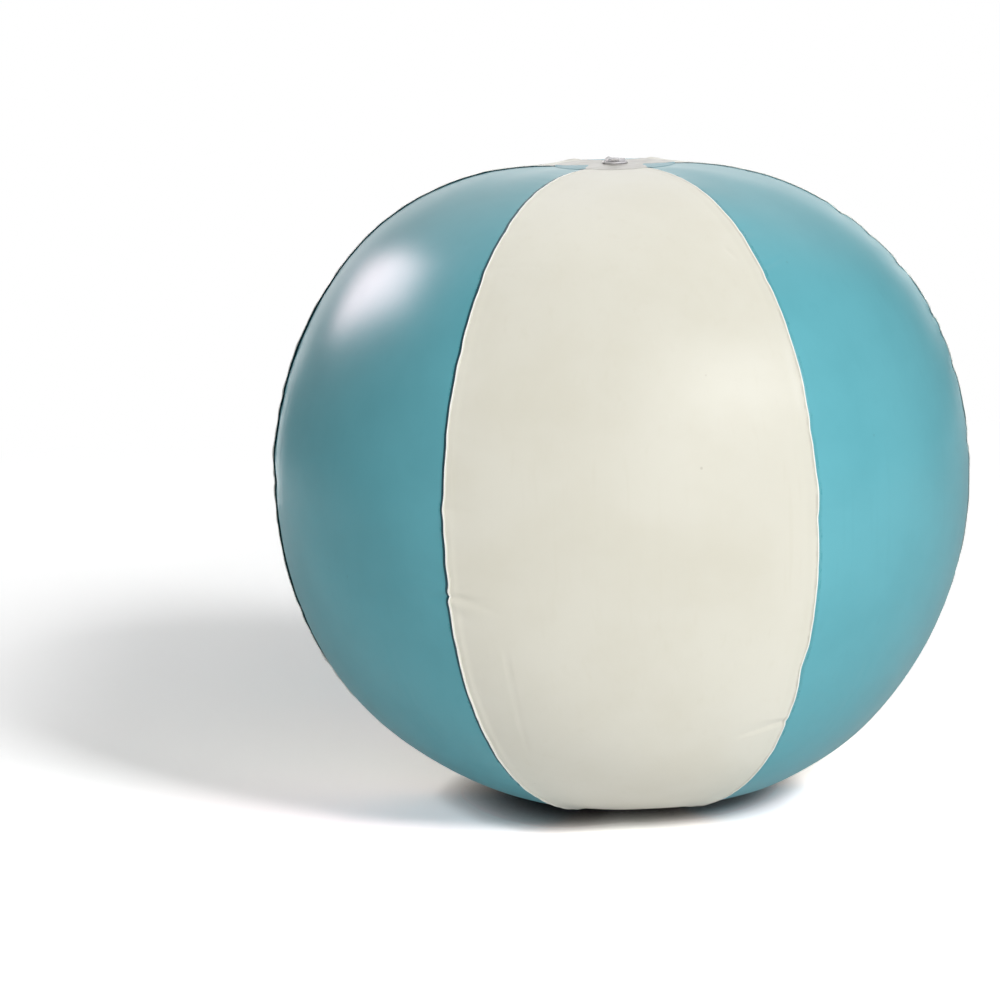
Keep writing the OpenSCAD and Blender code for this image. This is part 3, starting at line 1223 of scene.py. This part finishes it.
@dataclass
class Valve:
    """Push-in valve: welded flange, rolling wall, mouth tube, stopper on a strap, and check flap.

    The points of mouth, peg_low and peg_high are steps outward and upward: from the bore at the mouth's face,
    from the peg's tip, and from the peg's side at the mouth's face. strap_lug says how far past the tube the
    strap's lug starts and how far past the rim it ends.
    """

    form: BallForm = field(default_factory=BallForm)
    bore: float = 0.0035
    tube: float = 0.0050
    rim: float = 0.0062
    rim_height: float = 0.0010
    rim_stand: float = 0.0012
    mouth: tuple[tuple[float, float], ...] = ((0.0009, 0.0), (0.0006, -0.0001), (0.0, -0.0003))
    mouth_rounding: float = 0.0003
    ring: float = 0.0065
    ring_height: float = 0.0012
    foot: float = 0.0040
    flange: float = 0.0130
    flange_height: float = 0.0008
    flange_bore: float = 0.0059
    flange_grooves: tuple[float, ...] = (0.0119, 0.0094)
    groove_width: float = 0.0010
    groove_depth: float = 0.00012
    wall: float = 0.0004
    wall_ripple: float = 0.00005
    travel: float = 0.0120
    fold: float = 0.0010
    head: float = 0.0052
    head_height: float = 0.0012
    head_wave: float = 0.00045
    dish: float = 0.0030
    dish_depth: float = 0.0006
    peg_length: float = 0.0038
    peg_tip: float = 0.0023
    peg_fit: float = 0.0001
    peg_low: tuple[tuple[float, float], ...] = (
        (-0.0003, 0.0), (0.0, 0.0004), (0.00045, 0.0015), (0.00038, 0.0017))
    peg_high: tuple[tuple[float, float], ...] = ((-0.00022, -0.0008), (0.0, -0.0003))
    dish_slope: float = 0.0004
    stopper_rounding: float = 0.00028
    strap_width: float = 0.0032
    strap_height: float = 0.0006
    strap_arch: float = 0.0005
    strap_narrowing: float = 0.12
    strap_start: float = 0.0008
    strap_end: float = 0.0003
    strap_lug: tuple[float, float] = (0.0004, 0.0014)
    strap_lug_narrowed: float = 0.92
    tab_reach: float = 0.0024
    tab_width: float = 0.0044
    tab_height: float = 0.0006
    tab_lift: float = 0.0011
    tab_rib: float = 0.0009
    tab_rib_rise: float = 0.18
    tab_ribbed: float = 0.8
    tab_inset: float = 0.0004
    tab_lap: float = 0.0003
    tab_edge: float = 0.85
    tab_bulge: float = 0.15
    flap_height: float = 0.0006
    tail_width: float = 0.0029
    tail_reach: float = 0.0009
    tail_root: float = 0.0012
    tail_thinned: float = 0.96
    flap_lug_height: float = 0.0020
    flap_lug_rise: float = 0.0013
    flap_lug_root: float = 0.0003
    gap: float = 0.00005

    @property
    def flange_low(self) -> float:
        """Height of the flange's underside."""
        return self.form.crown - self.flange_height

    @property
    def rim_top(self) -> float:
        """Height of the mouth's upper face."""
        return self.form.top + self.rim_stand

    @property
    def ring_top(self) -> float:
        """Height of the stop ring's upper face."""
        return self.flange_low - self.travel - self.fold

    @property
    def foot_low(self) -> float:
        """Height of the tube's inner end."""
        return self.ring_top - self.ring_height - self.foot

    @staticmethod
    def groove(outer: float, width: float, slope: float, high: float, depth: float) -> Outline:
        """Outline of a groove in an upper face, from its outer edge to its inner one.

        Args:
            outer: Radius of its outer edge.
            width: Width of the groove.
            slope: Width of each sloping side.
            high: Height of the face.
            depth: Depth of the groove.

        Returns:
            Its four corners.
        """
        low, inner = high - depth, outer - width
        return [(outer, high), (outer - slope, low), (inner + slope, low), (inner, high)]

    def welded_flange(self) -> Piece:
        """Flat ring under the top disc, with two weld grooves and a thin rim.

        Returns:
            The flange.
        """
        low, high, rim_height, slope, rounding = self.flange_low, self.form.crown, 0.0004, 0.0003, 0.00025
        outline = [(self.flange_bore, low), (self.flange - self.flange_height, low),
                   (self.flange, high - rim_height), (self.flange, high)]
        for outer in self.flange_grooves:
            outline += self.groove(outer, self.groove_width, slope, high, self.groove_depth)
        return MeshMaker.turned("valve_welded_flange", outline + [(self.flange_bore, high)], rounding)

    def rolling_wall(self) -> Piece:
        """Thin waisted wall between the flange and the stop ring, with soft folds round it.

        Returns:
            The wall.
        """
        low, high, steps, ripples = self.ring_top + self.gap, self.flange_low - self.gap, 48, 14
        shares = np.arange(steps + 1) / steps
        waist = (self.ring - self.tube - self.wall) * 0.5
        swayed = self.wall_ripple * np.sin(shares * math.pi * ripples) * np.sin(shares * math.pi)
        outside = self.ring - waist * np.sin(shares * math.pi) + swayed
        heights = low + (high - low) * shares
        outline = list(zip(outside, heights)) + list(zip((outside - self.wall)[::-1], heights[::-1]))
        return MeshMaker.turned("valve_rolling_wall", outline)

    def mouth_tube(self) -> Piece:
        """Tube with its rim, stop ring and inner lip.

        Returns:
            The tube.
        """
        low, ring_top, rim_top = self.foot_low, self.ring_top, self.rim_top
        ring_low, rim_low = ring_top - self.ring_height, rim_top - self.rim_height
        outline = [
            (self.bore, low), (self.tube, low), (self.tube, ring_low), (self.ring, ring_low),
            (self.ring, ring_top), (self.tube, ring_top), (self.tube, rim_low), (self.rim, rim_low),
            (self.rim, rim_top)]
        outline += [(self.bore + out, rim_top + up) for out, up in self.mouth]
        return MeshMaker.turned("valve_mouth_tube", outline, self.mouth_rounding, 4)

    def stopper(self) -> Piece:
        """Stopper with a tapered peg, two sealing beads and a dished, crumpled head.

        Returns:
            The stopper.
        """
        head_low = self.rim_top + self.gap
        top, tip = head_low + self.head_height, self.rim_top - self.peg_length
        side, dished = self.bore - self.peg_fit, top - self.dish_depth
        outline = [(0.0, tip)]
        outline += [(self.peg_tip + out, tip + up) for out, up in self.peg_low]
        outline += [(side + out, self.rim_top + up) for out, up in self.peg_high]
        outline += [(side, head_low), (self.head, head_low), (self.head, top), (self.dish, top),
                    (self.dish - self.dish_slope, dished), (0.0, dished)]
        made = MeshMaker.turned("valve_stopper", outline, self.stopper_rounding, 4)
        for point in made.data.vertices:
            x, y, z = point.co
            if z > head_low + 2 * self.gap:
                reach = math.hypot(x, y) / self.head
                crumpled = waves(math.atan2(x, -y), ((1.0, 2, 0.8), (0.6, 3, 2.1), (0.35, 7, 0.0)))
                point.co.z = z + self.head_wave * crumpled * reach**2
        return made

    def pull_tab(self) -> Piece:
        """Rounded tab on the stopper's head with a ribbed grip.

        Returns:
            The tab.
        """
        start, radius, roundest = self.tab_inset - self.head, self.tab_width / 2, 0.995
        tip = -self.head + self.tab_lap - self.tab_reach - radius
        y = np.linspace(start, tip, 40)
        beyond = np.clip((tip + radius - y) / radius, 0, roundest)
        rounding = np.sqrt(1 - beyond**2)
        base = self.rim_top + self.gap + self.head_height / 2
        z = base + self.tab_lift * ((y - start) / (tip - start)) ** 2
        raised = np.clip(np.sin((y - start) * TURN / self.tab_rib), 0, 1)
        ribs = 1 + self.tab_rib_rise * raised * (beyond < self.tab_ribbed)
        thick = self.tab_height * (self.tab_edge + self.tab_bulge * rounding) * ribs
        return MeshMaker.swept("valve_pull_tab", np.stack([y, z], 1), self.tab_width * rounding, thick)

    def strap(self) -> Piece:
        """Short strap from the rim's lug to the stopper's head.

        Returns:
            The strap.
        """
        start, end = self.rim + self.strap_start, self.head - self.strap_end
        t = np.linspace(0, 1, 36)
        base = self.rim_top + self.gap + self.strap_height / 2
        path = np.stack([start + (end - start) * t, base + self.strap_arch * np.sin(t * math.pi)], 1)
        neck = 1 - self.strap_narrowing * np.sin(t * math.pi)
        return MeshMaker.swept("valve_stopper_strap", path, self.strap_width * neck, self.strap_height * neck)

    def check_flap(self) -> Piece:
        """Round flap under the tube with a bevelled rim and a sealing groove.

        Returns:
            The flap.
        """
        high, inset, bevel, bevel_height, rounding = self.foot_low - self.gap, 0.0003, 0.0006, 0.0002, 0.00012
        low, edge = high - self.flap_height, self.tube - inset
        outline = [(0.0, low), (edge - bevel, low), (edge, low + bevel_height), (edge, high)]
        outline += self.groove(outer=0.0032, width=0.0008, slope=0.0002, high=high, depth=0.00008)
        return MeshMaker.turned("valve_check_flap", outline + [(0.0, high)], rounding)

    def bar(self, name: str) -> Piece:
        """Level bar behind the axis: the lug for the strap, the lug for the flap, or the flap's tail.

        Args:
            name: Name of the piece.

        Returns:
            The bar.
        """
        tube, outer, full = self.tube, self.tube + self.tail_reach, 1.0
        lug_start, lug_end = self.strap_lug
        start, end, z, width, height, left, steps = {
            "valve_strap_lug": (tube + lug_start, self.rim + lug_end, self.rim_top - self.rim_height / 2,
                                self.strap_width, self.rim_height, self.strap_lug_narrowed, 12),
            "valve_flap_lug": (tube - self.flap_lug_root, outer, self.foot_low + self.flap_lug_rise,
                               self.tail_width, self.flap_lug_height, full, 10),
            "valve_flap_tail": (tube - self.tail_root, outer, self.foot_low - self.gap - self.flap_height / 2,
                                self.tail_width, self.flap_height * self.tail_thinned, full, 14)}[name]
        path = np.array([(y, z) for y in np.linspace(start, end, steps)])
        shares = np.linspace(full, left, steps)
        return MeshMaker.swept(name, path, width * shares, height * shares)

    def build(self, materials: Materials) -> None:
        """Make and dress the valve's pieces, and join all but its wall and strap to their bodies.

        Args:
            materials: Materials made so far, by name.
        """
        riding = {
            "ball": [self.welded_flange()],
            "stem": [self.mouth_tube(), self.bar("valve_strap_lug"), self.bar("valve_flap_lug")],
            "plug": [self.stopper(), self.pull_tab()],
            "flap": [self.check_flap(), self.bar("valve_flap_tail")]}
        wall, strap = self.rolling_wall(), self.strap()
        for piece in [piece for group in riding.values() for piece in group] + [wall, strap]:
            MeshMaker.dress(piece, CLEAR_VINYL, materials)
        for body, group in riding.items():
            for piece in group:
                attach(piece, body)
        high, low = self.flange_low - self.gap, self.ring_top + self.gap
        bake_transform(wall)
        height = self.rim_top + self.strap_height / 2
        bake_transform(strap)
        nodes = {"ball": "valve_flange", "stem": "valve_stem", "plug": "valve_plug", "flap": "check_flap"}
        for body, node in nodes.items():
            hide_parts(node)
        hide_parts("valve_cuff")


@dataclass(frozen=True)
class Softbox:
    """Soft lamp that faces the ball, placed by its angles round the ball from the front."""

    name: str
    turn: float
    rise: float
    distance: float
    width: float
    height: float
    power: float
    colour: Colour = (1.0, 1.0, 1.0)
    lights: bool = True
    shines: bool = True
    roll: float = 0.0

    def build(self, centre: tuple[float, float, float]) -> None:
        """Make the lamp.

        Args:
            centre: Middle of the ball.
        """
        toward = bearing(math.radians(self.turn), math.radians(self.rise))
        data = bpy.data.lights.new(self.name, "AREA")
        data.shape, data.size, data.size_y = "RECTANGLE", self.width, self.height
        data.energy, data.color = self.power, self.colour
        made = bpy.data.objects.new(self.name, data)
        made.location = Vector(centre) + toward * self.distance
        made.rotation_mode = "QUATERNION"
        rolled = Quaternion((0.0, 0.0, 1.0), math.radians(self.roll))
        made.rotation_quaternion = toward.to_track_quat("Z", "Y") @ rolled
        made.visible_diffuse, made.visible_glossy = self.lights, self.shines
        bpy.context.scene.collection.objects.link(made)


@dataclass
class Studio:
    """White studio: floor, soft light and camera."""

    centre: tuple[float, float, float] = (0.0, 0.0, 0.1631)
    softboxes: tuple[Softbox, ...] = (
        Softbox("key_softbox", 36.0, 31.0, 3.2, 0.60, 0.80, 52.0, shines=False),
        Softbox("front_fill", 14.0, 6.0, 3.2, 1.6, 1.2, 35.0, shines=False),
        Softbox("left_fill", -62.0, 4.0, 3.2, 1.2, 0.45, 7.0, shines=False),
        Softbox("key_gloss", 33.0, 31.0, 3.2, 1.8, 1.15, 40.0, (0.90, 0.94, 1.0), lights=False),
        Softbox("rear_softbox", -131.0, 14.0, 1.7, 0.50, 0.50, 4.4, shines=False),
        Softbox("back_softbox", 160.0, 10.0, 2.6, 0.80, 0.80, 12.0, shines=False),
        Softbox("low_card", -157.0, -3.0, 0.95, 0.26, 0.22, 0.32, lights=False),
        Softbox(
            "rear_gloss", -128.0, 29.0, 1.7, 0.82, 0.42, 11.0, (1.0, 0.79, 0.83), lights=False, roll=45.0),
    )
    distance: float = 2.065
    focal_pixels: float = 4084.5
    frame_pixels: float = 1000.0
    sensor: float = 36.0
    ball_right: float = 122.0
    ball_up: float = 25.2
    azimuth: float = -1.33
    elevation: float = 9.39
    roll: float = 1.30
    ambient: float = 0.43
    ambient_above: float = 0.04
    ambient_span: tuple[float, float] = (0.1, 0.9)
    side_gloss: float = 0.16
    ceiling_gloss: float = 1.60
    ceiling_span: tuple[float, float] = (0.75, 1.12)
    ceiling_lean: float = 0.6
    backdrop_gloss: float = 1.50
    backdrop_span: tuple[float, float] = (0.84, 0.94)
    floor_reach: float = 25.0
    floor_albedo: float = 0.78
    floor_gloss: float = 0.80
    # Painted red tint that cancels the teal panels' cyan bounce light near the ball.
    bounce_cancel_tint: float = 0.18
    floor_gain: float = 1.96
    # Painted contact shadow from ambient occlusion near the ball, eased on its lit side.
    contact_shadow_reach: float = 0.019
    reach_ease: float = 0.006
    contact_shadow_depth: float = 1.15
    contact_shadow_ease: float = 0.45
    contact_samples: int = 12
    lit_span: tuple[float, float] = (-0.55, -0.05)
    bounce_tint_span: tuple[float, float] = (0.15, 0.32)
    white_span: tuple[float, float] = (0.80, 1.25)
    fade_span: tuple[float, float] = (0.27, 0.43)
    fade_share: float = 0.75

    def camera(self) -> None:
        """Camera that sees the ball at the photograph's place in the frame."""
        turn, rise, roll = (math.radians(value) for value in (self.azimuth, self.elevation, self.roll))
        back = bearing(turn, rise)
        right = Vector((math.cos(turn), math.sin(turn), 0.0))
        up = back.cross(right)
        rolled_right = right * math.cos(roll) - up * math.sin(roll)
        rolled_up = right * math.sin(roll) + up * math.cos(roll)
        facing = Matrix((rolled_right, rolled_up, back)).transposed()
        sight = Vector((self.ball_right, self.ball_up, -self.focal_pixels)).normalized()
        aim = sight.rotation_difference(Vector((0.0, 0.0, -1.0)))
        data = bpy.data.cameras.new("studio_camera")
        data.sensor_width = self.sensor
        data.lens = self.focal_pixels * self.sensor / self.frame_pixels
        data.clip_start, data.clip_end = 0.01, 60.0
        made = bpy.data.objects.new("studio_camera", data)
        turned = (facing.to_quaternion() @ aim).to_matrix().to_4x4()
        made.matrix_world = Matrix.Translation(Vector(self.centre) + back * self.distance) @ turned
        bpy.context.scene.collection.objects.link(made)
        bpy.context.scene.camera = made

    def ray(self, recipe: Recipe, kind: str) -> Signal:
        """1 for rays of one kind."""
        return recipe.node("ShaderNodeLightPath", output=f"Is {kind} Ray")

    def looked(self, recipe: Recipe) -> Signal:
        """1 for what the camera sees, straight or through clear vinyl."""
        return self.ray(recipe, "Camera").at_least(self.ray(recipe, "Transmission"))

    def world(self) -> None:
        """Even soft light from all round, seen as white, with a white backdrop and ceiling in a gloss."""
        world = bpy.data.worlds.new("studio_world")
        bpy.context.scene.world = world
        recipe = Recipe(world)
        back, up = recipe.parts(recipe.node("ShaderNodeTexCoord", output="Generated"), "YZ")
        backdrop = back.rise(*self.backdrop_span) * (self.backdrop_gloss - self.side_gloss)
        overhead = (up + back * self.ceiling_lean).rise(*self.ceiling_span)
        ceiling = overhead * (self.ceiling_gloss - self.side_gloss)
        gloss = backdrop.at_least(ceiling) + self.side_gloss
        ambient = self.ambient - up.rise(*self.ambient_span) * (self.ambient - self.ambient_above)
        unseen = self.ray(recipe, "Glossy") * (gloss - ambient) + ambient
        strength = self.looked(recipe) * (1.0 - unseen) + unseen
        sky = recipe.node("ShaderNodeBackground", {"Color": WHITE, "Strength": strength})
        recipe.node("ShaderNodeOutputWorld", {"Surface": sky})

    def floor(self) -> None:
        """Pale floor that keeps the ball's shadow, with a painted contact shadow, and runs out into white."""
        corners = ((-1, -1, 0), (1, -1, 0), (1, 1, 0), (-1, 1, 0))
        made = MeshMaker.piece("studio_floor", np.array(corners) * self.floor_reach, [(0, 1, 2, 3)])
        material = bpy.data.materials.new("studio floor")
        recipe = Recipe(material)
        looked, place = self.looked(recipe), recipe.place()
        unseen = self.ray(recipe, "Glossy") * (self.floor_gloss - self.floor_albedo) + self.floor_albedo
        x, y = recipe.parts(place, "XY")
        far = recipe.length(place)
        lit_side = (x / far).rise(*self.lit_span)
        # Painted contact shadow: ambient occlusion darkens the floor near the ball, less on its lit side.
        nearby = {"Distance": self.contact_shadow_reach - lit_side * self.reach_ease}
        open_share = recipe.node("ShaderNodeAmbientOcclusion", nearby, "AO", samples=self.contact_samples)
        gain = open_share ** (self.contact_shadow_depth - lit_side * self.contact_shadow_ease) * self.floor_gain
        shade = looked * (gain - unseen) + unseen
        # Painted red tint near the teal panels, which cancels their cyan bounce light on the floor.
        near = 1 - far.rise(*self.bounce_tint_span)
        beside_teal = (1 + recipe.lobes(x, y)) * 0.5 * near * looked
        red = shade * (1 + beside_teal * self.bounce_cancel_tint)
        colour = recipe.node("ShaderNodeCombineColor", {"Red": red, "Green": shade, "Blue": shade})
        paper = recipe.node("ShaderNodeBsdfDiffuse", {"Color": colour})
        white = recipe.node("ShaderNodeEmission", {"Color": WHITE, "Strength": 1.0})
        beside = (0.0 - x).rise(*self.fade_span) * self.fade_share
        away = far.rise(*self.white_span).at_least(beside) * looked
        mixed = recipe.node("ShaderNodeMixShader", {0: away, 1: paper, 2: white})
        recipe.node("ShaderNodeOutputMaterial", {"Surface": mixed})
        made.data.materials.append(material)

    def build(self) -> None:
        """Set up the whole studio."""
        bpy.context.scene.view_settings.view_transform = "Standard"
        self.world()
        self.floor()
        for lamp in self.softboxes:
            lamp.build(self.centre)
        self.camera()
        LOG.info("studio ready")


def front_left_seam() -> Seam:
    """Seam on the left of the front panel, with the puckers that the photograph shows.

    Returns:
        The seam.
    """
    return Seam(5, [
        Pucker(0.2975, 0.0004, 0.0030, 0.012, kink=0.0004, side=1.0),
        Pucker(0.2810, 0.0006, 0.0030, 0.016, kink=-0.0005, side=1.0),
        Pucker(0.2450, 0.0003, 0.0045, 0.012, kink=0.0003),
        Pucker(0.2155, 0.0003, 0.0045, 0.012, kink=-0.0003),
        Pucker(0.1736, 0.0008, 0.0028, 0.012, kink=-0.0009, side=1.0),
        Pucker(0.1560, 0.0003, 0.0050, 0.010, kink=0.0002),
        Pucker(0.1322, 0.0014, 0.0011, 0.010, slant=-0.25, kink=0.0004),
        Pucker(0.1400, 0.0001, 0.0050, 0.008, kink=0.0008),
        Pucker(0.1352, -0.0005, 0.0014, 0.007, slant=0.3),
        Pucker(0.1290, -0.0004, 0.0014, 0.007, slant=-0.5),
        Pucker(0.1250, 0.0004, 0.0035, 0.020, slant=-0.4, side=1.0),
        Pucker(0.0905, 0.0002, 0.0050, 0.010, kink=-0.0002),
        Pucker(0.0560, 0.0003, 0.0050, 0.014, kink=0.0003, side=1.0),
    # Full painted highlight and painted shadow at this seam, with no painted shade in the band.
    ], edge_highlight=1.0, upper_shade=0.0, lower_shade=1.0, crease_shade=1.0, offset=0.0006)


def front_right_seam() -> Seam:
    """Seam on the right of the front panel, with the puckers that the photograph shows.

    Returns:
        The seam.
    """
    return Seam(0, [
        Pucker(0.2960, 0.0004, 0.0035, 0.012, kink=0.0003),
        Pucker(0.2742, 0.0003, 0.0035, 0.012, kink=-0.0003),
        Pucker(0.2300, 0.0003, 0.0040, 0.010, kink=0.0002),
        Pucker(0.2061, 0.0003, 0.0040, 0.010, kink=-0.0003),
        Pucker(0.1760, -0.0005, 0.0080, 0.008, kink=0.0008, side=1.0),
        Pucker(0.1650, 0.0004, 0.0028, 0.008, kink=-0.0003),
        Pucker(0.1400, 0.0004, 0.0035, 0.016, kink=0.0003),
        Pucker(0.1200, 0.0003, 0.0035, 0.014, slant=0.3, side=-1.0),
        Pucker(0.0920, 0.0002, 0.0080, 0.008, kink=-0.0014),
        Pucker(0.0626, 0.0013, 0.0018, 0.018, slant=-0.2, kink=-0.0005, side=-1.0),
        Pucker(0.0460, 0.0003, 0.0060, 0.010, kink=0.0010),
    # Weaker painted highlight and painted shadow at this seam, with some painted shade in the band.
    ], lip=0.00042, low_lip=0.00042, edge_highlight=0.6, upper_shade=0.3, lower_shade=0.15, crease_shade=0.35)


def side_seams() -> tuple[Seam, Seam]:
    """Seams near the photograph's right and left outline, with the kinks that it shows there.

    Returns:
        The right seam and the left one.
    """
    right = Seam.by_chance(1, [
        Pucker(0.2950, 0.0012, 0.0035, 0.014, kink=0.0004),
        Pucker(0.2830, 0.0008, 0.0030, 0.014, kink=-0.0004),
        Pucker(0.2670, 0.0012, 0.0035, 0.018),
        Pucker(0.2410, 0.0010, 0.0035, 0.016, kink=0.0005),
        Pucker(0.2310, 0.0007, 0.0028, 0.014),
        Pucker(0.2140, 0.0010, 0.0035, 0.016, kink=-0.0004),
        Pucker(0.1770, 0.0010, 0.0030, 0.014, kink=0.0004),
    # Painted shade under the lip, pale low down, and a light painted shadow beside the lip.
    ], lip=0.00055, low_lip=0.0009, crease_from=0.085, lower_shade=0.35, crease_shade=0.6)
    left = Seam.by_chance(4, [
        Pucker(0.1790, -0.0010, 0.0075, 0.012, kink=0.0004),
        Pucker(0.1650, 0.0008, 0.0030, 0.012),
        Pucker(0.2060, 0.0004, 0.0040, 0.012),
    # Dark painted shade under the lip above its pale foot, and a full painted shadow beside the lip.
    ], lip=0.00095, low_lip=0.0011, crease_from=0.074, lower_shade=1.0, crease_shade=1.0)
    return right, left


def front_creases() -> list[Crease]:
    """Faint folds of the front panel, where the photograph shows them.

    Returns:
        The creases.
    """
    return [
        Crease((-22.8, 0.200), (-23.0, 0.148), 0.00016, 0.0009),
        Crease((-22.0, 0.1115), (-22.8, 0.045), 0.00020, 0.0011),
        Crease((-29.5, 0.2822), (-13.5, 0.2828), 0.00022, 0.0010),
        Crease((-29.0, 0.1325), (-21.5, 0.1230), 0.00030, 0.0013),
        Crease((-29.0, 0.1310), (-23.5, 0.1300), 0.00024, 0.0010),
        Crease((29.4, 0.0622), (19.5, 0.0560), 0.00045, 0.0008),
        Crease((-29.6, 0.1738), (-25.5, 0.1722), 0.00020, 0.0010),
        Crease((23.8, 0.2895), (25.6, 0.2840), 0.00030, 0.0010),
        Crease((17.0, 0.0900), (22.0, 0.0760), 0.00012, 0.0012),
        Crease((-12.8, 0.1620), (-12.8, 0.1480), 0.00030, 0.0006),
        Crease((-21.7, 0.1050), (-21.6, 0.0910), 0.00030, 0.0006),
        Crease((-29.0, 0.1345), (-26.0, 0.1370), 0.00030, 0.0007),
    ]


def chance_creases(number: int) -> list[Crease]:
    """Faint folds of a panel that the photograph hides, the same in each run.

    Args:
        number: Number of the panel round the ball.

    Returns:
        The creases.
    """
    edge, width = 29.0, 0.0010
    chance = np.random.default_rng(211 + number)
    fold = float(chance.uniform(19.0, 23.0)) * float(chance.choice([-1, 1]))
    made = [
        Crease((fold, 0.230), (fold + 0.6, 0.140), 0.00012, width),
        Crease((-fold * 0.6, 0.110), (-fold * 0.7, 0.050), 0.00014, 0.0011),
    ]
    for _ in range(3):
        height, side = chance.uniform(0.06, 0.28), chance.choice([-1, 1])
        end = ((edge - chance.uniform(5, 12)) * side, height + chance.uniform(-0.008, 0.008))
        made.append(Crease((edge * side, height), end, chance.uniform(0.00010, 0.00022), width))
    return made


def put_on_ball(piece: Piece, finish: FilmFinish | VinylFinish, node: str, materials: Materials) -> None:
    """Dress a piece of the ball's skin and let it stand for its CAD node.

    Args:
        piece: Piece of the skin.
        finish: Its finish.
        node: CAD node that it replaces.
        materials: Materials made so far, by name.
    """
    MeshMaker.dress(piece, finish, materials)
    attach(piece, "ball")
    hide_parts(node)


def build_skin(materials: Materials) -> None:
    """Make the six panels and the two pole discs.

    Args:
        materials: Materials made so far, by name.
    """
    skin = Skin()
    right, left = side_seams()
    seams = [front_right_seam(), right, Seam.by_chance(2), Seam.by_chance(3), left, front_left_seam()]
    nodes = ["cream_panel_front", "teal_panel_right", "cream_panel_rear_right",
             "teal_panel_rear", "cream_panel_rear_left", "teal_panel_left"]
    for number, node in enumerate(nodes):
        over = node.startswith("cream")
        panel = Panel(
            name=node.replace("panel", "film"), number=number, seams=(seams[number - 1], seams[number]),
            skin=skin, creases=chance_creases(number) if number else front_creases(), over=over)
        put_on_ball(panel.build(), CREAM_FILM if over else TEAL_FILM, node, materials)
    for pole in Pole:
        put_on_ball(PoleDisc(pole).build(), DISC_FILM, pole.value, materials)


def main() -> None:
    """Build the studio and the ball's sub-assemblies in order."""
    logging.basicConfig(level=logging.INFO, format="%(message)s")
    materials: Materials = {}
    Studio().build()
    build_skin(materials)
    Valve().build(materials)


if __name__ == "__main__":
    main()
